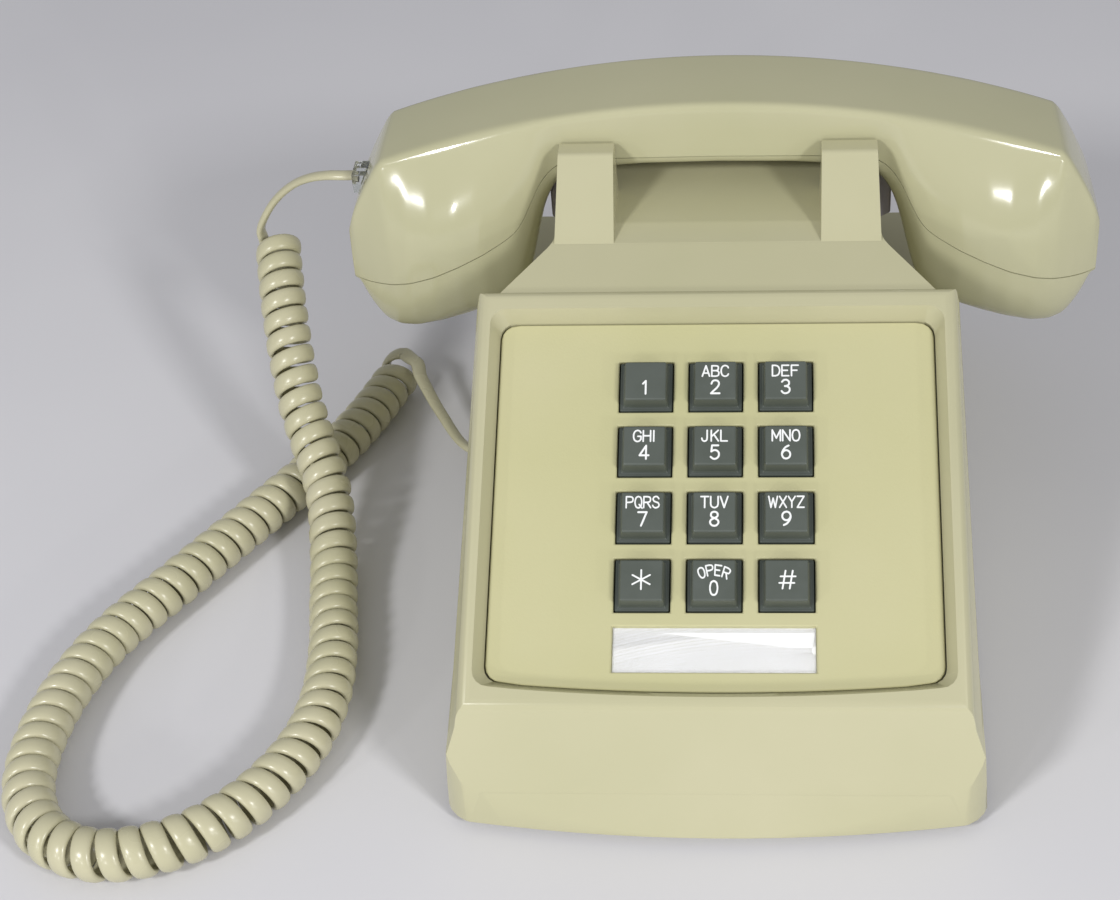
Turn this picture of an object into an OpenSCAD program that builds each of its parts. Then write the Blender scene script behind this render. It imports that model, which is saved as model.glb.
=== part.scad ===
// Corded desk telephone with a push-button keypad, a cradle and a two-shell handset.
// Frame: X to the right, Y to the back, Z up. The origin is on the table under the middle of the set.

/* [Housing] */
// Depth of the base from front to back
base_depth = 216; // [212:1:220]
// Width of the base at its lower rim
base_width = 131.6; // [130:0.2:133]
// Width of the housing at the height of the keypad ridge
ridge_width = 122; // [121:0.2:124]
// Wall thickness of the housing
wall = 2.6; // [2.2:0.1:3]
// Height of the housing's lower rim above the table
rim_z = 2.5; // [2:0.1:3]
// Height of the low shoulders under the handset's cups
shoulder_z = 42; // [38:0.5:43]
// Height of the cradle deck under the handle
deck_z = 92; // [91:0.25:93]

/* [Keypad face] */
// Tilt of the keypad face from horizontal, in degrees
face_tilt = 28; // [27:0.25:29]
// Distance of the keypad's centre behind the front edge
face_setback = 64; // [63:0.25:65]
// Height of the keypad's centre above the table
face_z = 60; // [59:0.25:61]
// Width of the faceplate
plate_width = 109.7; // [107:0.1:110.5]
// Height of the faceplate above the keypad's centre, along the slope
plate_up = 43.7; // [42.5:0.1:44.5]
// Depth of the faceplate below the keypad's centre, along the slope
plate_down = 50.5; // [50:0.1:51]
// How far the faceplate's lower edge bows out in its middle
plate_bow = 2.4; // [1:0.1:2.6]
// Thickness of the faceplate
plate_thickness = 2.5; // [2.2:0.1:3]
// Height of the ridge above the faceplate
ridge_height = 4.8; // [4:0.1:5.5]

/* [Keys] */
// Distance between neighbouring keys, both ways
key_pitch = 17.5; // [17:0.1:18]
// Width of a key's lower skirt
skirt_width = 13.2; // [12.4:0.1:13.8]
// Width of a key's cap
cap_width = 10.3; // [9:0.1:11]
// Height of the cap's top above the faceplate
cap_height = 4; // [3.6:0.1:5]
// Travel of a key
key_travel = 3.2; // [2.6:0.1:3.4]
// Gap round a key in its opening
key_gap = 0.3; // [0.2:0.05:0.5]

/* [Number card] */
// Width of the card's recess
card_width = 49.2; // [40:0.2:52]
// Height of the card's recess
card_height = 11.5; // [9:0.1:12]

/* [Cradle] */
// Width of the neck between the handset's cups
neck_width = 85; // [83:0.5:86]
// Distance between the inner faces of two neighbouring prongs
prong_gap = 53.8; // [50:0.2:56]
// Height of a prong's top above the table
prong_z = 107.2; // [105.5:0.1:108.5]
// Thickness of a prong at its top
prong_top = 6; // [5:0.25:7]
// Gap between the handle and a prong
prong_clear = 0.9; // [0.8:0.1:1.4]
// Travel of the hook plungers
hook_travel = 7; // [5:0.5:7.5]

/* [Handset] */
// Length of the handset
handset_length = 206; // [203:0.5:209]
// Height of the top of the handle above the table, on the cradle
handle_z = 117.5; // [117:0.25:119]
// Width of the handle's flat top
handle_width = 27.6; // [26.5:0.1:28.5]
// Radius of the arch of the handset's top
arch_radius = 265; // [255:1:280]
// Wall thickness of the handset's shells
handset_wall = 2.2; // [1.8:0.1:2.5]
// Gap between the two shells along their seam
seam_gap = 0.3; // [0.2:0.05:0.5]

/* [Cord] */
// Outer diameter of the curly part
curl_diameter = 13.3; // [12.5:0.1:13.4]
// Width of the flat cord along the curly part
cord_width = 3.8; // [3.4:0.1:4]
// Thickness of the flat cord
cord_thickness = 2.6; // [2.2:0.1:2.7]
// Diameter of the straight leads
lead_diameter = 3.5; // [3:0.1:3.8]
// Number of curls
curls = 77; // [70:1:78]

/* [Ringer] */
// Radius of the larger gong
gong_radius = 25; // [23:0.25:26]
// Distance between the gongs' centres
gong_spacing = 57; // [56:0.5:60]
// Radius of the clapper's ball
clapper_ball = 3.2; // [2.5:0.1:3.3]

/* [Hidden] */
$fn = 48;
tiny = 0.01;
over = 1;
front_y = -base_depth / 2;
rear_y = base_depth / 2;
face_y = front_y + face_setback;
floor_z = rim_z + 0.5;
plate_floor_z = floor_z + 1.5;

// ---- helpers -------------------------------------------------------------------------------
function unit(v) = v / norm(v);
function turn_of(a, b, c) = cross(b - a, c - b) > 0 ? 1 : -1;

// One corner b between a and c, rounded with radius r in n steps.
function corner(a, b, c, r, n) =
  let(u = unit(a - b), w = unit(c - b), half = acos(max(-1, min(1, u * w))) / 2)
  (r <= tiny || half > 89.5) ? [b] :
  let(centre = b + unit(u + w) * r / sin(half), start = b + u * r / tan(half) - centre,
      a0 = atan2(start[1], start[0]), sweep = turn_of(a, b, c) * (180 - 2 * half))
  [for (i = [0:n]) centre + r * [cos(a0 + sweep * i / n), sin(a0 + sweep * i / n)]];

// An outline of [x, y, radius] corners as points, counter-clockwise.
function rounded(p, n = 5) =
  let(k = len(p), q = [for (v = p) [v[0], v[1]]])
  [for (i = [0:k - 1]) each corner(q[(i + k - 1) % k], q[i], q[(i + 1) % k], p[i][2], n)];

// The outline moved inwards by d, with its radii reduced to suit.
function inset(p, d) =
  let(k = len(p), q = [for (v = p) [v[0], v[1]]])
  [for (i = [0:k - 1])
    let(a = unit(q[i] - q[(i + k - 1) % k]), b = unit(q[(i + 1) % k] - q[i]),
        na = [-a[1], a[0]], nb = [-b[1], b[0]], m = (na + nb) / (1 + na * nb),
        concave = cross(a, b) < 0)
    [q[i][0] + m[0] * d, q[i][1] + m[1] * d, concave ? p[i][2] + d : max(p[i][2] - d, 0)]];

function mirrored(p) = concat([for (v = p) v],
  [for (i = [len(p) - 1:-1:0]) concat([-p[i][0]], [for (j = [1:len(p[i]) - 1]) p[i][j]])]);

module on_face() { translate([0, face_y, face_z]) rotate([face_tilt, 0, 0]) children(); }
module along_x(width) { rotate([90, 0, 90]) translate([0, 0, -width / 2]) linear_extrude(width) children(); }
module along_y(depth) { rotate([90, 0, 0]) translate([0, 0, -depth / 2]) linear_extrude(depth) children(); }
module block(low, high) { translate(low) cube(high - low); }
module frustum(w0, w1, h) {
  side = [[-w0 / 2, 0], [w0 / 2, 0], [w1 / 2, h], [-w1 / 2, h]];
  intersection() {
    along_x(w0) polygon(side);
    along_y(w0) polygon(side);
  }
}
function on_face_yz(b, c) = [face_y + b * cos(face_tilt) - c * sin(face_tilt),
                             face_z + b * sin(face_tilt) + c * cos(face_tilt)];

// ---- housing -------------------------------------------------------------------------------
ridge_front_b = plate_down + plate_bow + 4.6;
ridge_back_b = plate_up + 6.8;
crest_front = on_face_yz(-ridge_front_b, ridge_height);
crest_back = on_face_yz(ridge_back_b, ridge_height);
groove = [crest_back[0] + 2.6, crest_back[1] - 1.8];
deck_front_share = 60 / 216;
handle_share = 38.4 / 216;
deck_front_y = face_y + deck_front_share * base_depth;
rear_lean = 11;
handset_y = deck_front_y + handle_share * base_depth;
profile_corners = [
  [front_y, rim_z, 0],
  [rear_y, rim_z, 0],
  [rear_y - rear_lean, deck_z, 12],
  [deck_front_y + 8, deck_z, 8],
  [deck_front_y, deck_z - 1.2, 6],
  [groove[0], groove[1], 0.6],
  [crest_back[0], crest_back[1], 3],
  [crest_front[0], crest_front[1], 4],
  [front_y + 4, 14, 20]
];
front_corners = mirrored([
  [base_width / 2, rim_z, 0],
  [ridge_width / 2 + 2, 36, 30],
  [ridge_width / 2 - 0.8, 130, 0]
]);
ridge_corners = mirrored([
  [ridge_width / 2 + 30, -160, 0],
  [ridge_width / 2 + 30, -60, 0],
  [ridge_width / 2 + 2.2, -3.6, 0],
  [ridge_width / 2 + 0.4, 0.4, 0],
  [ridge_width / 2 - 0.6, ridge_height, 3.6]
]);
plan_bow = 5.5;
bow_radius = (pow(base_width / 2, 2) + pow(plan_bow, 2)) / (2 * plan_bow);
neck_start_y = crest_back[0] + 1.5;
neck_shoulder = 56.5;
lower_half = base_width / 2 + 0.6;
front_corner_y = front_y + plan_bow - 0.1;
upper_plan = mirrored([
  [lower_half / 2, front_y - 0.05, 0],
  [lower_half, front_corner_y, 9.5],
  [lower_half, neck_start_y, 0],
  [neck_shoulder, neck_start_y, 2.5],
  [neck_width / 2, deck_front_y + 1, 8],
  [neck_width / 2, rear_y + over, 0]
]);
lower_plan = mirrored([
  [lower_half / 2, front_y - 0.05, 0],
  [lower_half, front_corner_y, 9.5],
  [lower_half, rear_y, 16]
]);

// The housing's outer form moved inwards by d, open below when d is not zero.
module housing_form(d) {
  drop = d > 0 ? 3 * d : 0;
  lowered = function(p) [for (v = p) [v[0], v[1] - (v[1] <= rim_z ? drop : 0), v[2]]];
  intersection() {
    along_x(base_width + 20) polygon(rounded(inset(lowered(profile_corners), d)));
    along_y(base_depth + 20) polygon(rounded(inset(lowered(front_corners), d)));
    on_face() along_y(400) polygon(rounded(inset(ridge_corners, d)));
    translate([0, front_y + bow_radius, 0]) cylinder(r = bow_radius - d, h = 400, center = true, $fn = 240);
    union() {
      translate([0, 0, -20]) linear_extrude(20 + shoulder_z - d) polygon(rounded(inset(lower_plan, d)));
      translate([0, 0, -20]) linear_extrude(20 + deck_z + 30) polygon(rounded(inset(upper_plan, d)));
    }
  }
}

// The faceplate's outline grown by g, in face coordinates.
function plate_outline(g) =
  let(w = plate_width / 2 + g, n = 12, sag = plate_bow,
      r = (pow(plate_width / 2, 2) + pow(sag, 2)) / (2 * sag))
  concat(
    corner([-w, plate_up + g], [-w, -plate_down - g], [w, -plate_down - g], 4, 4),
    [for (i = [-n + 1:n - 1]) let(x = i / n * (w - 5))
      [x, -plate_down - g - (sqrt(r * r - x * x) - (r - sag))]],
    corner([-w, -plate_down - g], [w, -plate_down - g], [w, plate_up + g], 4, 4),
    corner([w, -plate_down - g], [w, plate_up + g], [-w, plate_up + g], 4, 4),
    corner([w, plate_up + g], [-w, plate_up + g], [-w, -plate_down - g], 4, 4));

plate_gap = 0.35;
pocket_flare = 2.2;
ledge = 3.2;
notch_width = 29;
prong_outer = neck_width / 2;
prong_root = deck_z - wall + 0.6;
prong_back_y = handset_y - handle_width / 2 - prong_clear;
prong_front_face = [[deck_front_y, deck_z - 1.3], [prong_back_y - prong_top, prong_z]];

// One prong, on the right in front of the handle.
module prong() {
  back = prong_back_y;
  lean = 0.05;
  rise = prong_z - deck_z;
  intersection() {
    along_x(base_width) polygon(rounded([
      [prong_front_face[0][0], prong_root, 0], [back, prong_root, 0], [back, prong_z, 1],
      [prong_front_face[1][0], prong_z, 2], [prong_front_face[0][0], prong_front_face[0][1], 0]]));
    along_y(base_depth) polygon(rounded([
      [prong_gap / 2, prong_root, 0], [prong_outer, prong_root, 0],
      [prong_outer - lean * rise, prong_z + over, 0], [prong_gap / 2 + lean * rise / 2, prong_z + over, 0]]));
  }
}

plunger_y = handset_y;
plunger_half = 4.2;
slot_gap = 0.4;
plunger_in = neck_width / 2 - 4.3;
hook_slot_low = deck_z - 18.6;
recess_width = 64;
recess_depth = 24;
recess_low = 46;
recess_high = 74;
line_jack_x = -30;
jack_y = 26;
jack_z = 12.6;
jack_width = 11;
jack_height = 9;
line_jack_z = plate_floor_z + jack_height / 2;
socket_width = 8;
socket_height = 7;
jack_depth = 14;
boss_radius = 4;
screw_radius = 1.75;
screw_places = [[-57, -78], [57, -78], [-54, 84], [54, 84]];
boss_height = 60;
side_wall_x = -base_width / 2 + 1;

module housing() {
  color([0.76, 0.74, 0.6]) difference() {
    union() {
      difference() {
        housing_form(0);
        housing_form(wall);
      }
      intersection() {
        housing_form(0);
        union() {
          on_face() translate([0, 0, -plate_thickness - 2.6])
            linear_extrude(plate_thickness + 2.6 + ridge_height) polygon(plate_outline(plate_gap + 2.4));
          block([-recess_width / 2 - wall, rear_y - recess_depth - 10 - wall, recess_low - wall],
                [recess_width / 2 + wall, rear_y, recess_high + wall]);
          for (p = screw_places) translate([p[0], p[1], plate_floor_z])
            cylinder(r = boss_radius, h = boss_height);
        }
      }
      for (s = [0, 1], t = [0, 1]) mirror([s, 0, 0])
        translate([0, t * handset_y, 0]) mirror([0, t, 0]) translate([0, -t * handset_y, 0]) prong();
    }
    // Stepped pocket for the faceplate, flared above it, and the opening behind it.
    on_face() {
      translate([0, 0, -plate_thickness]) linear_extrude(30) polygon(plate_outline(plate_gap));
      hull() {
        translate([0, 0, 0.2]) linear_extrude(tiny) polygon(plate_outline(plate_gap));
        translate([0, 0, ridge_height + 0.2])
          linear_extrude(tiny) polygon(plate_outline(plate_gap + pocket_flare));
      }
      translate([0, 0, -30]) linear_extrude(40) polygon(plate_outline(-ledge));
      block([-notch_width / 2, -plate_down - plate_bow - plate_gap - 1.1, -4],
            [notch_width / 2, -plate_down, 0.4]);
    }
    // Slots for the hook plungers, through the deck's edges.
    for (s = [-1, 1]) translate([s * (plunger_in - slot_gap + 10), plunger_y, deck_z])
      cube([20, 2 * (plunger_half + slot_gap), 2 * (deck_z - hook_slot_low)], center = true);
    // Grip recess in the rear.
    block([-recess_width / 2, rear_y - recess_depth - 10, recess_low],
          [recess_width / 2, rear_y + over, recess_high]);
    // Windows for the line jack and the handset jack.
    block([line_jack_x - jack_width / 2 - 0.3, rear_y - 12, line_jack_z - jack_height / 2 - 0.3],
          [line_jack_x + jack_width / 2 + 0.3, rear_y + over, line_jack_z + jack_height / 2 + 0.3]);
    block([-base_width / 2 - over, jack_y - jack_width / 2 - 0.3, jack_z - jack_height / 2 - 0.3],
          [-base_width / 2 + 8, jack_y + jack_width / 2 + 0.3, jack_z + jack_height / 2 + 0.3]);
    for (p = screw_places) translate([p[0], p[1], floor_z]) cylinder(r = screw_radius, h = 14);
  }
}

// ---- faceplate and number card --------------------------------------------------------------
rows = [1.5, 0.5, -0.5, -1.5];
columns = [-1, 0, 1];
card_b = -42.3;
card_depth = 1.4;
card_thickness = 0.3;
window_thickness = 0.8;

module faceplate() {
  color([0.78, 0.75, 0.6]) on_face() difference() {
    translate([0, 0, -plate_thickness]) linear_extrude(plate_thickness) polygon(plate_outline(0));
    for (x = columns, y = rows) translate([x * key_pitch, y * key_pitch, 0])
      cube([skirt_width + 2 * key_gap, skirt_width + 2 * key_gap, 3 * plate_thickness], center = true);
    translate([-card_width / 2, card_b - card_height / 2, -card_depth]) cube([card_width, card_height, 5]);
  }
}
module number_card() {
  color("white") on_face() translate([-card_width / 2 + 0.2, card_b - card_height / 2 + 0.2, -card_depth])
    cube([card_width - 0.4, card_height - 0.4, card_thickness]);
}
module card_window() {
  inner = card_width - 0.2;
  color([0.9, 0.95, 0.95, 0.4]) on_face() difference() {
    translate([-inner / 2, card_b - card_height / 2 + 0.1, -card_depth + card_thickness])
      cube([inner, card_height - 0.2, window_thickness]);
    translate([inner / 2, card_b, -card_depth]) cylinder(r = 1.1, h = 5, center = true);
  }
}

// ---- keys -----------------------------------------------------------------------------------
skirt_depth = 3.6;
stem_width = 6;
frame_top = -plate_thickness;
guide_low = -11;
guide_high = -8.4;
board_top = -17.4;
stem_end = -12.2;
mat_thickness = 0.8;
dome_top = stem_end - key_travel - 0.3;

module key(i) {
  color([0.4, 0.41, 0.4]) on_face()
    translate([columns[i % 3] * key_pitch, rows[floor(i / 3)] * key_pitch, 0]) {
      translate([-skirt_width / 2, -skirt_width / 2, -skirt_depth])
        cube([skirt_width, skirt_width, skirt_depth]);
      frustum(cap_width + 0.9, cap_width, cap_height);
      translate([-stem_width / 2, -stem_width / 2, stem_end]) cube([stem_width, stem_width, -stem_end - 1]);
    }
}

frame_half_a = 1.5 * key_pitch + 4.5;
frame_half_b = 2 * key_pitch + 2;
frame_wall = 1.6;
pad_corner = [frame_half_a - 3, frame_half_b - 3];
pad_screw_radius = 1.2;

module keypad_frame() {
  color([0.25, 0.25, 0.26]) on_face() difference() {
    union() {
      difference() {
        block([-frame_half_a, -frame_half_b, board_top], [frame_half_a, frame_half_b, frame_top]);
        block([-frame_half_a + frame_wall, -frame_half_b + frame_wall, board_top - over],
              [frame_half_a - frame_wall, frame_half_b - frame_wall, guide_low]);
        block([-frame_half_a + frame_wall, -frame_half_b + frame_wall, guide_high],
              [frame_half_a - frame_wall, frame_half_b - frame_wall, frame_top + over]);
      }
      for (a = [-1, 1], b = [-1, 1]) translate([a * pad_corner[0], b * pad_corner[1], board_top])
        cylinder(r = 2.6, h = guide_low - board_top + 1);
    }
    for (x = columns, y = rows) translate([x * key_pitch, y * key_pitch, (guide_low + guide_high) / 2])
      cube([stem_width + 0.6, stem_width + 0.6, 10], center = true);
    for (a = [-1, 1], b = [-1, 1]) translate([a * pad_corner[0], b * pad_corner[1], board_top - over])
      cylinder(r = pad_screw_radius + 0.05, h = 6);
  }
}
module key_mat() {
  half_a = frame_half_a - frame_wall - 4;
  half_b = frame_half_b - frame_wall - 0.3;
  color([0.6, 0.6, 0.62]) on_face() {
    block([-half_a, -half_b, board_top], [half_a, half_b, board_top + mat_thickness]);
    for (x = columns, y = rows) translate([x * key_pitch, y * key_pitch, board_top])
      cylinder(r = 3.4, h = dome_top - board_top);
  }
}
module keypad_board() {
  color([0.16, 0.4, 0.25]) on_face() difference() {
    block([-frame_half_a, -frame_half_b, board_top - 1.6], [frame_half_a, frame_half_b, board_top]);
    for (a = [-1, 1], b = [-1, 1]) translate([a * pad_corner[0], b * pad_corner[1], board_top])
      cylinder(r = pad_screw_radius + 0.1, h = 10, center = true);
  }
}
module keypad_screws() {
  color("silver") on_face() for (a = [-1, 1], b = [-1, 1])
    translate([a * pad_corner[0], b * pad_corner[1], board_top - 1.6]) {
      cylinder(r = pad_screw_radius, h = 6.2);
      translate([0, 0, -1.4]) difference() {
        cylinder(r = 2.4, h = 1.4);
        translate([-3, -0.35, -0.1]) cube([6, 0.7, 0.7]);
      }
    }
}

// ---- base plate, feet and screws --------------------------------------------------------------
plate_inset = wall + 0.5;
wheel_x = 46;
wheel_y = 14;
wheel_radius = 12;
wheel_thickness = 3;
wheel_z = rim_z - 1 + wheel_radius;
slot_half = 9.5;
foot_radius = 8;
foot_places = [[-44, front_y + 19], [44, front_y + 19], [-42, rear_y - 16], [42, rear_y - 16]];

module base_plate() {
  color([0.55, 0.56, 0.55]) difference() {
    intersection() {
      housing_form(plate_inset);
      block([-base_width, -base_depth, floor_z], [base_width, base_depth, plate_floor_z]);
    }
    for (p = screw_places) translate([p[0], p[1], 0]) cylinder(r = screw_radius + 0.2, h = 20, center = true);
    block([wheel_x - wheel_thickness / 2 - 1, wheel_y - slot_half, -over],
          [wheel_x + wheel_thickness / 2 + 1, wheel_y + slot_half, 10]);
  }
}
module feet() {
  color([0.12, 0.12, 0.12]) for (p = foot_places) translate([p[0], p[1], 0]) {
    cylinder(r = foot_radius, h = floor_z);
  }
}
module housing_screws() {
  color("silver") for (p = screw_places) translate([p[0], p[1], floor_z]) {
    cylinder(r = screw_radius - 0.05, h = 12);
    translate([0, 0, -1.6]) difference() {
      cylinder(r = 3.2, h = 1.6);
      translate([-4, -0.5, -0.1]) cube([8, 1, 0.9]);
    }
  }
}

// ---- hook switch ------------------------------------------------------------------------------
deck_under = deck_z - wall;
pivot_y = deck_front_y + 7;
pivot_z = deck_z - 23;
shaft_radius = 1.5;
bore_clear = 0.05;
foot_low = deck_z - 18;
foot_high = deck_under - hook_travel - 0.6;
arm_x = neck_width / 2 - wall - 5.4;
ear_x = arm_x - 5;
pad_radius = 1.7;
pad_z = foot_low - 0.35 - pad_radius;
bail_reach = plunger_y - pivot_y;

// The handset's underside at a distance x from the middle, as [x, z below the handle's top].
underside = [[0, 19.1], [20, 19.5], [34, 20.9], [40, 22.6], [43.5, 25], [46, 28.8], [48, 34], [49.5, 40],
             [51.5, 49], [54, 57], [58, 61], [66, 63.8], [78, 67.4], [86, 69.8], [91, 70.5], [95, 69.5],
             [98.5, 64.5], [101, 57.5], [102.4, 50], [103, 45]];
function scaled_x(x) = x * 103 / (handset_length / 2);
function under_z(x) = handle_z - lookup(scaled_x(abs(x)), underside);

module plunger(side) {
  low_x = plunger_in;
  high_x = neck_width / 2 + 4.2;
  step = (high_x - low_x) / 5;
  color([0.9, 0.9, 0.92]) mirror([side < 0 ? 1 : 0, 0, 0]) translate([0, plunger_y, 0]) {
    along_y(2 * plunger_half) polygon(concat(
      [[low_x, foot_low], [low_x + 3, foot_low], [high_x, under_z(high_x) - 10]],
      [for (i = [5:-1:0]) let(x = low_x + i * step) [x, min(under_z(x), under_z(x + 0.6)) - 0.6]]));
    block([arm_x - 3, -plunger_half, foot_low], [low_x + 1, plunger_half, foot_high]);
  }
}
module plunger_left() { plunger(-1); }
module plunger_right() { plunger(1); }

module hook_bail() {
  bar = 4;
  color([0.7, 0.7, 0.68]) difference() {
    union() {
      for (s = [-1, 1]) {
        translate([s * arm_x - 2, pivot_y, pivot_z]) rotate([0, 90, 0]) cylinder(r = 3.4, h = 4);
        block([s * arm_x - 1.5, pivot_y, pivot_z - 1], [s * arm_x + 1.5, plunger_y, pad_z]);
        translate([s * arm_x - 1.5, plunger_y, pad_z]) rotate([0, 90, 0]) cylinder(r = pad_radius, h = 3);
      }
      block([-arm_x, pivot_y + 14, pivot_z - 1], [arm_x, pivot_y + 14 + bar, pivot_z + 1]);
    }
    translate([-50, pivot_y, pivot_z]) rotate([0, 90, 0]) cylinder(r = shaft_radius + bore_clear, h = 100);
  }
}
module hook_shaft() {
  color("silver") translate([-arm_x - 3, pivot_y, pivot_z]) rotate([0, 90, 0])
    cylinder(r = shaft_radius, h = 2 * arm_x + 6);
}
module hook_bracket() {
  color([0.7, 0.7, 0.68]) difference() {
    union() {
      for (s = [-1, 1])
        block([s * ear_x - 1, pivot_y - 5, pivot_z - 5], [s * ear_x + 1, pivot_y + 7, deck_under - 2]);
      block([-ear_x - 1, pivot_y + 1, deck_under - 2], [ear_x + 1, pivot_y + 12, deck_under]);
    }
    translate([-50, pivot_y, pivot_z]) rotate([0, 90, 0]) cylinder(r = shaft_radius + tiny, h = 100);
  }
}
module hook_spring() {
  color("silver") translate([-ear_x + 1.3, pivot_y, pivot_z]) rotate([0, 90, 0]) difference() {
    cylinder(r = 3.2, h = 9);
    translate([0, 0, -over]) cylinder(r = 2.1, h = 11);
  }
}
module hook_contacts() {
  leaf = 0.4;
  spacing = 1.6;
  color([0.8, 0.65, 0.3]) {
    block([-9, pivot_y + 2.6, deck_under - 7], [9, pivot_y + 10.6, deck_under - 2]);
    for (i = [0:4]) let(y = pivot_y + 3 + i * spacing)
      block([-7, y, pivot_z + 4], [7, y + leaf, deck_under - 6.5]);
  }
}

// ---- network, ringer --------------------------------------------------------------------------
network_low = [-6, face_y - 14, plate_floor_z];
network_high = [40, face_y + 30, plate_floor_z + 20];
module network_block() {
  color([0.35, 0.33, 0.3]) {
    block(network_low, network_high);
    block([network_low[0] + 4, network_low[1] + 4, network_high[2] - over],
          [network_high[0] - 4, network_high[1] - 12, network_high[2] + 4]);
  }
}
module network_terminals() {
  pitch = (network_high[0] - network_low[0] - 8) / 5;
  color([0.8, 0.65, 0.3]) for (i = [0:5], j = [0, 1])
    translate([network_low[0] + 4 + i * pitch, network_high[1] - 3.2 - j * 5, network_high[2]]) difference() {
      cylinder(r = 2, h = 2.2);
      translate([-2.5, -0.3, 1.5]) cube([5, 0.6, 1]);
    }
}

gong_y = handset_y + 6;
gong_small_radius = gong_radius - 2;
gong_x = gong_spacing / 2;
gong_mid = (gong_radius - gong_small_radius) / 2;
gong_large_x = gong_x - gong_mid;
gong_small_x = -gong_x - gong_mid;
frame_z = plate_floor_z;
gong_seat = frame_z + 16;
gong_height = 11;
gong_wall = 1.2;
clapper_reach = 34;
ringer_reach = 26;
clapper_y = gong_y - clapper_reach;
ringer_back_y = clapper_y - ringer_reach;

module ringer_frame() {
  color([0.6, 0.6, 0.58]) difference() {
    union() {
      block([-22, ringer_back_y, frame_z], [18, clapper_y + 7, frame_z + 1.6]);
      block([gong_small_x - 8, gong_y - 6, frame_z], [gong_large_x + 8, gong_y + 6, frame_z + 1.6]);
      block([-8, clapper_y, frame_z], [6, gong_y, frame_z + 1.6]);
      block([-22, ringer_back_y, frame_z], [-20.4, clapper_y - 6, frame_z + 14]);
      block([16.4, ringer_back_y, frame_z], [18, clapper_y - 6, frame_z + 14]);
      for (x = [gong_small_x, gong_large_x]) translate([x, gong_y, frame_z])
        cylinder(r = 4, h = gong_seat - frame_z);
    }
    for (x = [gong_small_x, gong_large_x]) translate([x, gong_y, frame_z - over]) cylinder(r = 1.6, h = 40);
    translate([-gong_mid, clapper_y, frame_z - over]) cylinder(r = 1.5, h = 10);
  }
}
module ringer_coil() {
  y = (ringer_back_y + clapper_y - 6) / 2;
  color([0.55, 0.25, 0.15]) translate([-20.4, y, frame_z + 10]) rotate([0, 90, 0]) difference() {
    union() {
      cylinder(r = 6.8, h = 36.8);
    }
    for (h = [2, 20.4]) translate([0, 0, h]) difference() {
      cylinder(r = 9, h = 14.4);
      translate([0, 0, -over]) cylinder(r = 6, h = 20);
    }
  }
}
module gong(r) {
  difference() {
    translate([0, 0, -gong_height]) cylinder(r1 = r, r2 = r * 0.8, h = gong_height);
    translate([0, 0, -gong_height - tiny])
      cylinder(r1 = r - gong_wall, r2 = r * 0.8 - gong_wall - 1, h = gong_height - gong_wall);
    cylinder(r = 1.7, h = 30, center = true);
  }
}
module gong_large() {
  color([0.75, 0.62, 0.35]) translate([gong_large_x, gong_y, gong_seat + gong_wall]) gong(gong_radius);
}
module gong_small() {
  color([0.75, 0.62, 0.35]) translate([gong_small_x, gong_y, gong_seat + gong_wall]) gong(gong_small_radius);
}
module gong_screws() {
  color("silver") for (x = [gong_small_x, gong_large_x]) translate([x, gong_y, 0]) {
    translate([0, 0, frame_z + 4]) cylinder(r = 1.5, h = gong_seat + gong_wall - frame_z - 4 + tiny);
    translate([0, 0, gong_seat + gong_wall]) difference() {
      cylinder(r = 3.6, h = 2);
      translate([-4, -0.4, 1.3]) cube([8, 0.8, 1]);
    }
  }
}
ball_z = gong_seat + gong_wall - gong_height + 3.5;
clapper_arm = gong_y - clapper_y;
module clapper() {
  color([0.7, 0.7, 0.68]) translate([-gong_mid, clapper_y, 0]) {
    difference() {
      union() {
        translate([0, 0, frame_z + 2]) cylinder(r = 3.4, h = 9);
        block([-6, -5.2, frame_z + 5], [6, -2.4, frame_z + 9]);
        translate([0, 0, ball_z]) rotate([-90, 0, 0]) cylinder(r = 0.9, h = clapper_arm);
        translate([0, clapper_arm, ball_z]) sphere(r = clapper_ball, $fn = 32);
      }
      translate([0, 0, frame_z]) cylinder(r = 1.5 + bore_clear, h = 20);
    }
  }
}
module clapper_pin() {
  color("silver") translate([-gong_mid, clapper_y, frame_z]) {
    cylinder(r = 1.5, h = 12.4);
    translate([0, 0, 11.4]) cylinder(r = 2.6, h = 1.2);
  }
}

// ---- ringer loudness wheel ----------------------------------------------------------------------
module volume_wheel() {
  through = wheel_thickness + 2 * over;
  color([0.3, 0.3, 0.3]) translate([wheel_x - wheel_thickness / 2, wheel_y, wheel_z]) rotate([0, 90, 0])
    difference() {
      cylinder(r = wheel_radius, h = wheel_thickness);
      for (i = [0:23]) rotate([0, 0, i * 15]) translate([wheel_radius, 0, -over])
        cylinder(r = 0.5, h = through, $fn = 6);
      translate([0, 0, -over]) cylinder(r = 2 + bore_clear, h = through);
    }
}
module volume_bracket() {
  color([0.6, 0.6, 0.58]) {
    translate([wheel_x - 5, wheel_y, wheel_z]) rotate([0, 90, 0]) cylinder(r = 2, h = 10);
    for (s = [-1, 1]) let(x = wheel_x + s * 4.5)
      block([x - 1, wheel_y - 4, plate_floor_z], [x + 1, wheel_y + 4, wheel_z + 4]);
  }
}

// ---- jacks and plugs ------------------------------------------------------------------------------
plug_width = 7.6;
plug_height = 6.6;
plug_length = 11.7;

// A jack whose mouth looks along -X from the origin.
module jack() {
  difference() {
    block([0, -jack_width / 2, -jack_height / 2], [jack_depth, jack_width / 2, jack_height / 2]);
    block([-over, -socket_width / 2, -socket_height / 2],
          [jack_depth - 1.6, socket_width / 2, socket_height / 2]);
  }
}
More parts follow.
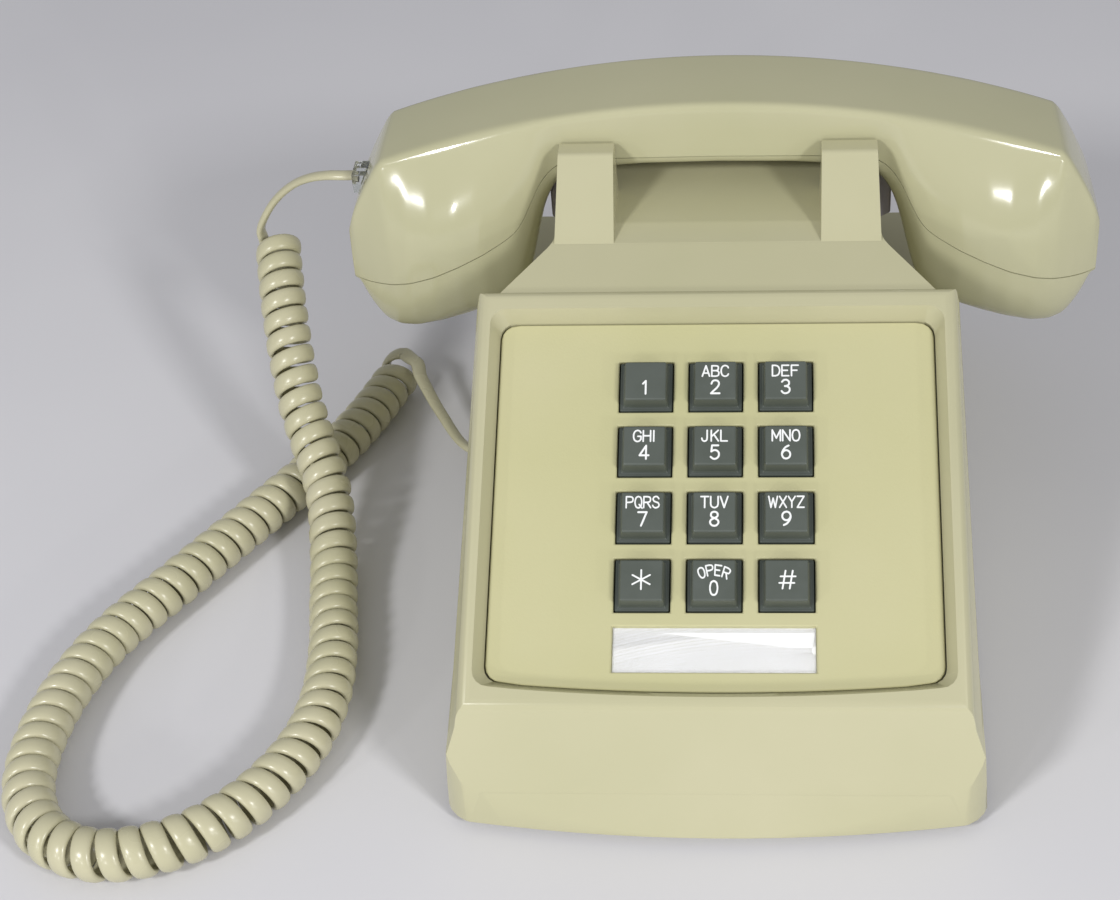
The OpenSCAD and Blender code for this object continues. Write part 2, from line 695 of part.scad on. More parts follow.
// A plug whose tip points along +X from the origin, where the lead enters it.
module plug() {
  color([0.85, 0.88, 0.88, 0.6]) difference() {
    block([0, -plug_width / 2, -plug_height / 2], [plug_length, plug_width / 2, plug_height / 2 - 1]);
    for (i = [-1.5:1:1.5]) block([plug_length - 4, i * 1.1 - 0.25, -plug_height / 2 - over],
                                 [plug_length - 1, i * 1.1 + 0.25, -plug_height / 2 + 0.6]);
  }
  color([0.85, 0.88, 0.88, 0.6])
    block([1, -1.5, plug_height / 2 - 1 - tiny], [plug_length - 1.5, 1.5, plug_height / 2]);
}
module handset_jack() {
  color([0.12, 0.12, 0.12]) translate([side_wall_x, jack_y, jack_z]) jack();
}
module line_jack() {
  color([0.12, 0.12, 0.12]) translate([line_jack_x, rear_y - 1.6, line_jack_z]) rotate([0, 0, -90]) jack();
}
base_plug_x = side_wall_x - 4.5;
module base_plug() { translate([base_plug_x, jack_y, jack_z]) plug(); }

// ---- handset --------------------------------------------------------------------------------------
// Half-length stations, from the middle to the end of a 206 mm handset.
stations = [0, 14, 28, 37, 41, 44, 46.5, 48.5, 50, 52, 54.5, 58, 64, 71, 78, 85, 90, 92.5, 95.5, 98.5,
            101, 102.4, 103];
end_corner = 91;
end_fall = [[91, 0], [93, 2.4], [97, 9.4], [100, 15.4], [102, 20.6], [103, 24.5]];
seam_drop = [[0, 15.7], [28, 15.9], [37, 16.2], [41, 16.8], [44, 18.2], [46.5, 20.2], [48.5, 23], [50, 26],
             [52, 30.5], [54.5, 34.4], [58, 36.6], [64, 39.6], [71, 43], [78, 46.2], [85, 49], [92.5, 51.6],
             [98.5, 53.2], [103, 53.8]];
half_widths = [[0, 14], [41, 14.1], [44, 14.4], [46.5, 15.6], [50, 17.8], [54.5, 20.6], [58, 22.2],
               [64, 24.3], [71, 25.2], [78, 25.3], [85, 24], [90, 21.9], [95.5, 18.4],
                [99, 15.8], [101, 14.2],
               [102.4, 13], [103, 12.2]];

function arch(x) = arch_radius - sqrt(arch_radius * arch_radius - x * x);
function top_z(x) = handle_z - arch(min(x, end_corner)) - (x > end_corner ? lookup(x, end_fall) : 0);
function seam_z(x) = handle_z - lookup(x, seam_drop);
function low_z(x) = min(handle_z - lookup(x, underside), seam_z(x) - 2.2);
function mid_half(x) = lookup(x, half_widths) + (handle_width - 27.6) / 2;
function top_half(x) =
  min(handle_width / 2, mid_half(x) - 0.2) - (x > end_corner ? (x - end_corner) * 0.12 : 0);

side_steps = 5;
// Upper half-section at station x, from the seam at +Y over the top to the seam at -Y, moved inwards by d.
function upper_ring(x, d) =
  let(t = top_z(x) - d, s = seam_z(x) + seam_gap / 2, m = mid_half(x) - d, w = top_half(x) - d,
      side = [for (i = [0:side_steps]) let(u = 90 * i / side_steps)
        [w + (m - w) * cos(u), s + (t - 0.8 - s) * (i / side_steps)]])
  concat(side, [[w - 0.8, t]], [for (i = [side_steps:-1:0]) [-side[i][0], side[i][1]]]);
// Lower half-section, from the seam at -Y under the bottom to the seam at +Y, moved inwards by d.
function lower_ring(x, d) =
  let(s = seam_z(x) - seam_gap / 2, b = min(low_z(x) + d, s - 0.3), m = mid_half(x) - d,
      side = [for (i = [0:side_steps]) let(u = 88 * i / side_steps)
        [m * pow(cos(u), 0.42), s - (s - b) * pow(sin(u) / sin(88), 0.85)]])
  concat([for (v = side) [-v[0], v[1]]], [for (i = [side_steps:-1:0]) side[i]]);

function signed_stations() = concat([for (i = [len(stations) - 1:-1:1]) -stations[i]], stations);

// A closed shell between the outer surface and the same surface moved inwards by the wall.
module handset_shell(upper) {
  xs = signed_stations();
  k = handset_length / 206;
  inner_k = (103 - handset_wall) / 103;
  half = upper ? 0 : 1;
  ring = function(x, d) upper ? upper_ring(x, d) : lower_ring(x, d);
  n = len(ring(0, 0));
  m = len(xs);
  outer = [for (x = xs) each [for (v = ring(abs(x), 0)) [x * k, v[0] + handset_y, v[1]]]];
  inner = [for (x = xs) each [for (v = ring(abs(x) * inner_k, handset_wall))
    [x * inner_k * k, v[0] + handset_y, v[1]]]];
  at = m * n;
  quad = function(a, b, c, d) [[a, b, c], [a, c, d]];
  faces = concat(
    [for (i = [0:m - 2], j = [0:n - 2])
      each quad(i * n + j, i * n + j + 1, (i + 1) * n + j + 1, (i + 1) * n + j)],
    [for (i = [0:m - 2], j = [0:n - 2])
      each quad(at + i * n + j, at + (i + 1) * n + j, at + (i + 1) * n + j + 1, at + i * n + j + 1)],
    [for (i = [0:m - 2]) each quad(i * n, (i + 1) * n, at + (i + 1) * n, at + i * n)],
    [for (i = [0:m - 2])
      each quad(i * n + n - 1, at + i * n + n - 1, at + (i + 1) * n + n - 1, (i + 1) * n + n - 1)],
    [for (j = [1:n - 2]) [0, j + 1, j]],
    [for (j = [1:n - 2]) [at, at + j, at + j + 1]],
    quad(0, at, at + n - 1, n - 1),
    [for (j = [1:n - 2]) [(m - 1) * n, (m - 1) * n + j, (m - 1) * n + j + 1]],
    [for (j = [1:n - 2]) [at + (m - 1) * n, at + (m - 1) * n + j + 1, at + (m - 1) * n + j]],
    quad((m - 1) * n, (m - 1) * n + n - 1, at + (m - 1) * n + n - 1, at + (m - 1) * n));
  polyhedron(concat(outer, inner), faces);
}

plug_drop = 29;
plug_z = handle_z - plug_drop;
handset_plug_x = -handset_length / 2 + 1.5;
socket_mouth_x = -handset_length / 2 + 8.6;
capsule_tilt = 17;
capsule_x = 74.5 * handset_length / 206;
capsule_drop = 63.2;
capsule_z = handle_z - capsule_drop;
capsule_radius = 14;

module handset_outer_shell() {
  color([0.76, 0.74, 0.6]) difference() {
    handset_shell(true);
    block([-handset_length / 2 - over, handset_y - socket_width / 2, plug_z - socket_height / 2],
          [socket_mouth_x + 3, handset_y + socket_width / 2, plug_z + socket_height / 2]);
  }
}
module capsule_holes(side, count) {
  translate([side * capsule_x, handset_y, capsule_z]) rotate([0, side * capsule_tilt, 0]) {
    for (i = [0:count - 1]) rotate([0, 0, i * 360 / count]) translate([capsule_radius / 2, 0, 0])
      cylinder(r = 1, h = 24, center = true);
    cylinder(r = 1, h = 24, center = true);
  }
}
module handset_inner_shell() {
  color([0.74, 0.72, 0.58]) difference() {
    handset_shell(false);
    capsule_holes(-1, 6);
    capsule_holes(1, 6);
  }
}
module capsule(side, height) {
  translate([side * capsule_x, handset_y, capsule_z]) rotate([0, side * capsule_tilt, 0]) {
    cylinder(r = capsule_radius, h = height * 0.55);
    cylinder(r = capsule_radius - 3, h = height);
  }
}
module transmitter_capsule() { color([0.3, 0.3, 0.32]) capsule(-1, 9); }
module receiver_capsule() { color([0.2, 0.2, 0.22]) capsule(1, 12); }
module handset_socket() {
  color([0.12, 0.12, 0.12]) translate([socket_mouth_x, handset_y, plug_z]) jack();
}
module handset_plug() { translate([handset_plug_x, handset_y, plug_z]) plug(); }

// ---- cord -------------------------------------------------------------------------------------------
// The middle line of the curly part, from its handset end down to the table and round to its base end.
coil_line = [[-129.6, 65, 59.4], [-128.6, 59, 56.5], [-127.5, 53.5, 53.4], [-126.5, 48.2, 49.8],
             [-125.3, 43, 45.6], [-123.9, 37.2, 40.9], [-122.3, 31.7, 36.1], [-120.6, 26.3, 31.4],
             [-118.6, 21.6, 27.5], [-116.5, 17, 24.2], [-113.9, 11.6, 20.8], [-111.4, 5.4, 17.4],
             [-109.4, -2, 14.3], [-107.8, -11, 11.2], [-106.3, -21, 8.3], [-104.7, -33, 6.9],
             [-102.5, -46, 6.9], [-101.2, -62, 6.9], [-102.2, -75, 6.9],
             [-105, -85, 6.9], [-109.5, -94, 6.9], [-115, -101.8, 6.9], [-121.8, -108.6, 6.9],
             [-129.5, -113.8, 6.9], [-138.5, -117.2, 6.9], [-148, -118.3, 6.9], [-156.8, -116, 6.9],
             [-164.2, -110.5, 6.9], [-169.4, -102, 6.9], [-172, -91.5, 6.9], [-172.2, -79, 6.9],
             [-170.4, -66, 6.9], [-167, -54, 6.9], [-162.5, -43.8, 6.9], [-157, -34.5, 6.9],
             [-151, -25.5, 6.9],
             [-144, -14.5, 6.9], [-137, -3.5, 6.9], [-130, 7.5, 6.9], [-123.2, 18.3, 6.9], [-117, 29, 6.9],
             [-111.2, 40.5, 6.9], [-106, 53.5, 6.9], [-99.6, 73, 6.9]];
// Pairs of a turn's number and its distance along the middle line.
// The turns stand apart where the cord hangs.
turn_places = [[0, 0], [5, 27.5], [9, 51.5], [24, 140]];

function hermite(p, i, t) =
  let(n = len(p), a = p[max(i - 1, 0)], b = p[i], c = p[min(i + 1, n - 1)], d = p[min(i + 2, n - 1)],
      m0 = (c - a) / 2, m1 = (d - b) / 2)
  (2 * t * t * t - 3 * t * t + 1) * b + (t * t * t - 2 * t * t + t) * m0
  + (-2 * t * t * t + 3 * t * t) * c + (t * t * t - t * t) * m1;
function smooth(p, k) =
  concat([for (i = [0:len(p) - 2], j = [0:k - 1]) hermite(p, i, j / k)], [p[len(p) - 1]]);
function lengths(p) =
  let(n = len(p))
  [for (i = 0, s = 0; i < n; i = i + 1, s = s + (i < n ? norm(p[min(i, n - 1)] - p[i - 1]) : 0)) s];
function tangent(p, i) = unit(p[min(i + 1, len(p) - 1)] - p[max(i - 1, 0)]);

// A tube of flat rings round the points p, with the half sizes a across and b along each of the given ups.
module swept(p, sides, a, b, ups, phase) {
  n = len(p);
  rings = [for (i = [0:n - 1])
    let(t = tangent(p, i), u = unit(ups[i] - (ups[i] * t) * t), v = cross(t, u))
    each [for (k = [0:sides - 1])
      let(turn = 360 * (k + phase) / sides) p[i] + a * cos(turn) * v + b * sin(turn) * u]];
  faces = concat(
    [for (i = [0:n - 2], k = [0:sides - 1])
      let(here = i * sides, next = here + sides, q = (k + 1) % sides)
      each [[here + k, next + q, here + q], [here + k, next + k, next + q]]],
    [for (k = [1:sides - 2]) [0, k, k + 1]],
    [for (k = [1:sides - 2]) [(n - 1) * sides, (n - 1) * sides + k + 1, (n - 1) * sides + k]]);
  polyhedron(rings, faces);
}
module lead(p) {
  n = len(p);
  route = concat([p[0]], smooth([for (i = [1:n - 2]) p[i]], 2), [p[n - 1]]);
  swept(route, 8, lead_diameter / 2, lead_diameter / 2, [for (q = route) [0.01, 0.02, 1]], 0.5);
}

coil_route = smooth(coil_line, 8);
coil_lengths = lengths(coil_route);
coil_length = coil_lengths[len(coil_route) - 1];
coil_table = [for (i = [0:len(coil_route) - 1]) [coil_lengths[i], i]];
function coil_at(s) =
  let(f = lookup(s, coil_table), i = min(floor(f), len(coil_route) - 2))
  coil_route[i] + (f - i) * (coil_route[i + 1] - coil_route[i]);
curl_radius = (curl_diameter - cord_thickness) / 2;
rings_per_curl = 8;
curl_steps = curls * rings_per_curl + 5;
first_turn = 40;
last_turn = curl_steps / rings_per_curl;
last_pitch = 8.8;
turn_table = concat(turn_places, [[last_turn - 1, coil_length - last_pitch], [last_turn, coil_length]]);
// A direction that the middle line never takes, so that the turns' frames don't flip.
curl_reference = [0, -0.5, 0.87];
function curl_place(i) = lookup(i / rings_per_curl, turn_table);
function curl_axis(s) = unit(coil_at(min(s + 1, coil_length)) - coil_at(max(s - 1, 0)));
function curl_side(s) = unit(cross(curl_axis(s), curl_reference));
function curl_up(s) = cross(curl_side(s), curl_axis(s));
function curl_out(i) =
  let(s = curl_place(i), a = -first_turn - 360 * i / rings_per_curl)
  cos(a) * curl_side(s) + sin(a) * curl_up(s);
function curl_point(i) = coil_at(curl_place(i)) + curl_radius * curl_out(i);
curl_points = [for (i = [0:curl_steps]) curl_point(i)];
// Both ends run straight for one width of the cord, towards the leads.
start_way = unit(curl_up(0) - 0.5 * curl_axis(0));
end_way = unit(curl_side(coil_length) - 0.6 * curl_axis(coil_length) + 0.2 * curl_up(coil_length));
coil_start = curl_points[0] + cord_width * start_way;
coil_end = curl_points[curl_steps] + cord_width * end_way;

// The straight lead from the handset's plug down to the first curl.
handset_lead = concat([[handset_plug_x, handset_y, plug_z],
                       [handset_plug_x - lead_diameter, handset_y, plug_z],
                       [-109.2, 55.3, 88], [-114.2, 57.6, 86], [-119.3, 60.4, 82.7], [-124.2, 62.8, 78.3],
                       [-128.6, 64.6, 73.2], [-132, 65.3, 68]],
                      [coil_start + lead_diameter * start_way, coil_start]);
// The straight lead from the last curl to the plug in the side of the base.
base_lead = concat([coil_end, coil_end + lead_diameter * end_way],
                   [[-92.8, 62, 12.2], [-90, 56, 11.6], [-86.8, 49.6, 11], [-83.2, 42.8, 10.8],
                    [-79.8, 36.2, 11], [-76.4, 30.2, 11.7],
                    [base_plug_x - lead_diameter, jack_y, jack_z], [base_plug_x, jack_y, jack_z]]);

module cord_coil() {
  route = concat([coil_start], curl_points, [coil_end]);
  last = curl_steps;
  outs = concat([curl_out(0)], [for (i = [0:last]) curl_out(i)], [curl_out(last)]);
  color([0.74, 0.72, 0.62]) swept(route, 6, cord_width / 2, cord_thickness / 2, outs, 0);
}
module cord_lead_handset() { color([0.74, 0.72, 0.62]) lead(handset_lead); }
module cord_lead_base() { color([0.74, 0.72, 0.62]) lead(base_lead); }

// The least distance between one turn's middle line and the next, less the cord's width.
near_steps = [6:10];
crossing_steps = 160;
curl_gap = min([for (i = [0:curl_steps - 10], j = near_steps) norm(curl_points[i + j] - curl_points[i])])
  - cord_width;
crossing_gap = min([for (i = [0:crossing_steps], j = [curl_steps - crossing_steps:curl_steps])
  norm(curl_points[i] - curl_points[j])]) - cord_thickness;
echo(coil_length = coil_length, curl_gap = curl_gap, crossing_gap = crossing_gap);
echo(coil_start = coil_start, coil_end = coil_end, start_way = start_way, end_way = end_way);

housing();
faceplate();
number_card();
card_window();
base_plate();
feet();
housing_screws();
keypad_frame();
key_mat();
keypad_board();
keypad_screws();
key(0);  // key_1
key(1);  // key_2
key(2);  // key_3
key(3);  // key_4
key(4);  // key_5
key(5);  // key_6
key(6);  // key_7
key(7);  // key_8
key(8);  // key_9
key(9);  // key_star
key(10);  // key_0
key(11);  // key_pound
plunger_left();
plunger_right();
hook_bail();
hook_shaft();
hook_bracket();
hook_spring();
hook_contacts();
network_block();
network_terminals();
ringer_frame();
ringer_coil();
gong_large();
gong_small();
gong_screws();
clapper();
clapper_pin();
volume_wheel();
volume_bracket();
line_jack();
handset_jack();
handset_outer_shell();
handset_inner_shell();
transmitter_capsule();
receiver_capsule();
handset_socket();
handset_plug();
base_plug();
cord_lead_handset();
cord_coil();
cord_lead_base();
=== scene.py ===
"""A beige desk telephone with a push-button keypad and a curly handset cord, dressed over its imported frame."""
import bmesh
import bpy
import numpy as np
from mathutils import Matrix


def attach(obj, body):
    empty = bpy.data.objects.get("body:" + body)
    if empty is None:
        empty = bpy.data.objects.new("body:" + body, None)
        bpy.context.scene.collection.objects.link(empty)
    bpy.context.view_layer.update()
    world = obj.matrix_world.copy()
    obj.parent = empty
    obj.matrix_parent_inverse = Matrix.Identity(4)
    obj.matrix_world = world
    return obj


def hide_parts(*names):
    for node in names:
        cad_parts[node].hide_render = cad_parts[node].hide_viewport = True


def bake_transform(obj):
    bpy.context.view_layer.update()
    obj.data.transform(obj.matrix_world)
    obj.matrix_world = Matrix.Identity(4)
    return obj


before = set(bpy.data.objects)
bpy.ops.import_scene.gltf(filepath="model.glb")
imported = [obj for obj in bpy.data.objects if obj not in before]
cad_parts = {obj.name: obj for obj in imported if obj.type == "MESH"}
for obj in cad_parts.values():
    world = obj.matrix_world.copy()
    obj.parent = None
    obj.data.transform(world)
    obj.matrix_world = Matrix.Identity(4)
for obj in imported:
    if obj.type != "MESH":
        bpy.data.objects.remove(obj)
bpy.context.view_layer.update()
MM = 0.001


# ---- helpers ---------------------------------------------------------------------------------
def unit(v):
    """Vectors scaled to length one along the last axis."""
    v = np.asarray(v, float)
    return v / np.linalg.norm(v, axis=-1, keepdims=True)


def linear(hex_colour):
    """An sRGB hex colour as linear RGBA."""
    c = np.array([int(hex_colour[i:i + 2], 16) for i in (1, 3, 5)]) / 255
    c = np.where(c <= 0.04045, c / 12.92, ((c + 0.055) / 1.055) ** 2.4)
    return (float(c[0]), float(c[1]), float(c[2]), 1.0)


def new_object(name, points, faces, material=None):
    """A mesh piece from points in millimetres and faces as index rows."""
    mesh = bpy.data.meshes.new(name)
    mesh.from_pydata((np.asarray(points, float) * MM).tolist(), [], [list(map(int, f)) for f in faces])
    mesh.update()
    piece = bpy.data.objects.new(name, mesh)
    bpy.context.scene.collection.objects.link(piece)
    mesh.shade_smooth()
    if material:
        mesh.materials.append(material)
    return piece


def grid_faces(rows, columns, wrap=False, start=0):
    """Quads of a grid of points, row after row; wrap closes each row on itself."""
    i, j = np.meshgrid(np.arange(rows - 1), np.arange(columns if wrap else columns - 1), indexing="ij")
    k = (j + 1) % columns
    return np.stack([i * columns + j, i * columns + k, (i + 1) * columns + k, (i + 1) * columns + j],
                    axis=-1).reshape(-1, 4) + start


def dressed(node, material, body, width=0.5, steps=2, angle=35):
    """A merged copy of a CAD node with its edges broken by a small bevel, standing for the node."""
    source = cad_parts[node]
    mesh = source.data.copy()
    mesh.name = node + "_skin"
    work = bmesh.new()
    work.from_mesh(mesh)
    bmesh.ops.remove_doubles(work, verts=work.verts, dist=1e-6)
    bmesh.ops.dissolve_limit(work, angle_limit=np.radians(0.3), verts=work.verts, edges=work.edges)
    work.to_mesh(mesh)
    work.free()
    piece = bpy.data.objects.new(node + "_skin", mesh)
    bpy.context.scene.collection.objects.link(piece)
    mesh.shade_smooth()
    mesh.set_sharp_from_angle(angle=np.radians(angle))
    mesh.materials.clear()
    mesh.materials.append(material)
    bevel = piece.modifiers.new("edge", "BEVEL")
    bevel.width = width * MM
    bevel.segments = steps
    bevel.limit_method = "ANGLE"
    bevel.angle_limit = np.radians(angle)
    bevel.use_clamp_overlap = True
    weighted = piece.modifiers.new("shading", "WEIGHTED_NORMAL")
    weighted.keep_sharp = True
    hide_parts(node)
    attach(piece, body)
    return piece


def node_in(tree, kind, settings=None, links=None):
    """Adds a shader node with its settings and its links, given as input name or index to socket or value."""
    made = tree.nodes.new(kind)
    for key, value in (settings or {}).items():
        setattr(made, key, value)
    for key, value in (links or {}).items():
        if isinstance(value, bpy.types.NodeSocket):
            tree.links.new(value, made.inputs[key])
        else:
            made.inputs[key].default_value = value
    return made


def moulded(name, colour, second, roughness, grain_mm=None, grain_depth=0.0, patch_mm=60, ior=1.5, coat=0.0):
    """Moulded plastic: a colour that drifts slightly over the part and an optional fine moulded grain."""
    material = bpy.data.materials.new(name)
    material.use_nodes = True
    tree = material.node_tree
    shader = tree.nodes["Principled BSDF"]
    place = node_in(tree, "ShaderNodeTexCoord")
    drift = node_in(tree, "ShaderNodeTexNoise", links={
        "Vector": place.outputs["Object"], "Scale": 1 / (patch_mm * MM), "Detail": 3.0, "Roughness": 0.55})
    ramp = node_in(tree, "ShaderNodeMapRange", links={
        "Value": drift.outputs["Fac"], "From Min": 0.3, "From Max": 0.7})
    blend = node_in(tree, "ShaderNodeMix", {"data_type": "RGBA"}, {
        "Factor": ramp.outputs["Result"], 6: linear(colour), 7: linear(second)})
    tree.links.new(blend.outputs[2], shader.inputs["Base Color"])
    gloss = node_in(tree, "ShaderNodeMapRange", links={
        "Value": drift.outputs["Fac"], "From Min": 0.2, "From Max": 0.8,
        "To Min": roughness * 0.85, "To Max": roughness * 1.15})
    tree.links.new(gloss.outputs["Result"], shader.inputs["Roughness"])
    shader.inputs["IOR"].default_value = ior
    shader.inputs["Coat Weight"].default_value = coat
    if grain_mm:
        grain = node_in(tree, "ShaderNodeTexNoise", links={
            "Vector": place.outputs["Object"], "Scale": 1 / (grain_mm * MM), "Detail": 2.0, "Roughness": 0.5})
        bump = node_in(tree, "ShaderNodeBump", links={
            "Height": grain.outputs["Fac"], "Strength": 1.0, "Distance": grain_depth * MM})
        tree.links.new(bump.outputs["Normal"], shader.inputs["Normal"])
    return material


def metal(name, colour, roughness, streak_mm=0.4):
    """Metal with a faint streaky finish from drawing or plating."""
    material = bpy.data.materials.new(name)
    material.use_nodes = True
    tree = material.node_tree
    shader = tree.nodes["Principled BSDF"]
    shader.inputs["Metallic"].default_value = 1.0
    shader.inputs["Base Color"].default_value = linear(colour)
    place = node_in(tree, "ShaderNodeTexCoord")
    streak = node_in(tree, "ShaderNodeTexNoise", links={
        "Vector": place.outputs["Object"], "Scale": 1 / (streak_mm * MM), "Detail": 2.0})
    spread = node_in(tree, "ShaderNodeMapRange", links={
        "Value": streak.outputs["Fac"], "To Min": roughness * 0.8, "To Max": roughness * 1.2})
    tree.links.new(spread.outputs["Result"], shader.inputs["Roughness"])
    return material


# ---- materials -------------------------------------------------------------------------------
# Injection-moulded ABS, polished tool: smooth and glossy, drifting between greener and warmer beige with age.
ABS_GLOSS = moulded("moulded_abs_beige", "#B8B593", "#BDB999", 0.2, grain_mm=2.4, grain_depth=0.01)
# The same ABS from a spark-textured tool: a satin face with a fine grain.
ABS_SATIN = moulded("textured_abs_beige", "#BFBC8F", "#C3BF96", 0.42, grain_mm=0.7, grain_depth=0.03)
# Handset ABS, a shade yellower from handling, the glossiest surface on the set.
ABS_HANDSET = moulded("handset_abs_beige", "#B3B18F", "#B8B595", 0.13, grain_mm=5, grain_depth=0.01)
# Key plastic: slate grey caps with a soft sheen. The skirts get a darker, greener copy of the same plastic, which is
# painted shade for the skirts sunk in the faceplate's holes.
KEY_CAP = moulded("key_cap_abs_slate", "#50564F", "#555B55", 0.42, grain_mm=0.5, grain_depth=0.008, patch_mm=9)
KEY_SKIRT_SHADE = moulded("key_skirt_painted_shade", "#3B423C", "#404641", 0.48, grain_mm=0.5, grain_depth=0.008, patch_mm=9)
# White second-shot legends, a hair above the cap so that they show crisp and evenly white.
LEGEND = moulded("legend_white_shot", "#F2F3F2", "#E9EBEA", 0.5, patch_mm=4)
# Uncoated card under its window.
CARD = moulded("card_stock_white", "#FFFFFF", "#F9F9F8", 0.8, grain_mm=0.4, grain_depth=0.01, patch_mm=18)
# Plunger acetal: smooth, slightly violet grey.
ACETAL = moulded("plunger_acetal_grey", "#A9A3B2", "#B1ABB8", 0.3, patch_mm=12)
# Soft glossy vinyl of the cord, a little greyer than the mouldings.
VINYL = moulded("cord_vinyl_beige", "#C0BB9E", "#B9B595", 0.27, grain_mm=1.2, grain_depth=0.01, patch_mm=25)
# Inner and underside materials: matt black rubber, pale translucent-looking silicone, black nylon, green
# laminate, red-brown winding tape, and grey, yellow and pale metals with a soft, streaky sheen.
RUBBER = moulded("foot_rubber_black", "#1D1D1D", "#242424", 0.7, grain_mm=0.6, grain_depth=0.02)
SILICONE = moulded("mat_silicone_pale", "#C4C4BE", "#BBBBB4", 0.55, patch_mm=15)
BLACK = moulded("moulded_black_nylon", "#1E1F20", "#262728", 0.4, grain_mm=0.5, grain_depth=0.01, patch_mm=12)
BOARD = moulded("board_green_laminate", "#1F5A36", "#27633F", 0.4, patch_mm=8)
TAPE = moulded("winding_tape_red_brown", "#7A3524", "#87402C", 0.5, grain_mm=0.3, grain_depth=0.02, patch_mm=6)
STEEL = metal("zinc_plated_steel", "#B9BAB6", 0.38)
BRASS = metal("lacquered_brass", "#C8A661", 0.3)
ALUMINIUM = metal("stamped_aluminium", "#C4C5C6", 0.4)


def clear_plastic():
    """Clear moulded acrylic or polycarbonate: lets the light through, with faint flow marks in its gloss."""
    material = bpy.data.materials.new("clear_polycarbonate")
    material.use_nodes = True
    tree = material.node_tree
    shader = tree.nodes["Principled BSDF"]
    shader.inputs["Base Color"].default_value = linear("#F4F7F6")
    shader.inputs["Transmission Weight"].default_value = 0.95
    shader.inputs["IOR"].default_value = 1.49
    place = node_in(tree, "ShaderNodeTexCoord")
    flow = node_in(tree, "ShaderNodeTexNoise", links={
        "Vector": place.outputs["Object"], "Scale": 1 / (9 * MM), "Detail": 2.0})
    spread = node_in(tree, "ShaderNodeMapRange", links={
        "Value": flow.outputs["Fac"], "To Min": 0.04, "To Max": 0.1})
    tree.links.new(spread.outputs["Result"], shader.inputs["Roughness"])
    return material


CLEAR = clear_plastic()


def window_film():
    """Thin clear acrylic over the number card: nearly all see-through, with a faint wavy gloss."""
    material = bpy.data.materials.new("clear_acrylic_window")
    material.use_nodes = True
    tree = material.node_tree
    shader = tree.nodes["Principled BSDF"]
    shader.inputs["Base Color"].default_value = linear("#FAFBFB")
    shader.inputs["Alpha"].default_value = 0.03
    place = node_in(tree, "ShaderNodeTexCoord")
    wave = node_in(tree, "ShaderNodeTexNoise", links={
        "Vector": place.outputs["Object"], "Scale": 1 / (12 * MM), "Detail": 1.0})
    spread = node_in(tree, "ShaderNodeMapRange", links={
        "Value": wave.outputs["Fac"], "To Min": 0.06, "To Max": 0.16})
    tree.links.new(spread.outputs["Result"], shader.inputs["Roughness"])
    return material


WINDOW = window_film()

# ---- camera ----------------------------------------------------------------------------------
eye = np.array([0.01488, -0.42626, 0.39148])
right, up, view = np.array([[0.99782, 0.04791, -0.04541], [0.00401, 0.64261, 0.76618], [-0.06589, 0.76469, -0.64102]])
camera_data = bpy.data.cameras.new("camera")
camera = bpy.data.objects.new("camera", camera_data)
bpy.context.scene.collection.objects.link(camera)
turn = np.eye(4)
turn[:3, 0], turn[:3, 1], turn[:3, 2], turn[:3, 3] = right, up, -view, eye
camera.matrix_world = Matrix(turn.tolist())
camera_data.sensor_width = 36
camera_data.sensor_fit = "HORIZONTAL"
camera_data.lens = 36 * 2050 / 1120
camera_data.shift_x = -80 / 1120
camera_data.clip_start = 0.01
bpy.context.scene.camera = camera

# ---- cord ------------------------------------------------------------------------------------
HANDSET_Y = 54.4
COIL_LINE = np.array([
    [-129.6, 65, 59.4], [-128.6, 59, 56.5], [-127.5, 53.5, 53.4], [-126.5, 48.2, 49.8], [-125.3, 43, 45.6],
    [-123.9, 37.2, 40.9], [-122.3, 31.7, 36.1], [-120.6, 26.3, 31.4], [-118.6, 21.6, 27.5], [-116.5, 17, 24.2],
    [-113.9, 11.6, 20.8], [-111.4, 5.4, 17.4], [-109.4, -2, 14.3], [-107.8, -11, 11.2], [-106.3, -21, 8.3],
    [-104.7, -33, 6.9], [-102.5, -46, 6.9], [-101.2, -62, 6.9], [-102.2, -75, 6.9], [-105, -85, 6.9],
    [-109.5, -94, 6.9], [-115, -101.8, 6.9], [-121.8, -108.6, 6.9], [-129.5, -113.8, 6.9], [-138.5, -117.2, 6.9],
    [-148, -118.3, 6.9], [-156.8, -116, 6.9], [-164.2, -110.5, 6.9], [-169.4, -102, 6.9], [-172, -91.5, 6.9],
    [-172.2, -79, 6.9], [-170.4, -66, 6.9], [-167, -54, 6.9], [-162.5, -43.8, 6.9], [-157, -34.5, 6.9],
    [-151, -25.5, 6.9], [-144, -14.5, 6.9], [-137, -3.5, 6.9], [-130, 7.5, 6.9], [-123.2, 18.3, 6.9],
    [-117, 29, 6.9], [-111.2, 40.5, 6.9], [-106, 53.5, 6.9], [-99.6, 73, 6.9]])
TURN_PLACES = [[0, 0], [5, 27.5], [9, 51.5], [24, 140]]
CURLS = 77
CURL_RADIUS = 5.35
FIRST_TURN = 40
LAST_TURN = CURLS + 5 / 8
LAST_PITCH = 8.8
CORD_WIDTH = 3.8
LEAD_DIAMETER = 3.5
CURL_REFERENCE = np.array([0, -0.5, 0.87])
HANDSET_PLUG = np.array([-101.5, HANDSET_Y, 88.5])
BASE_PLUG = np.array([-69.3, 26, 12.6])


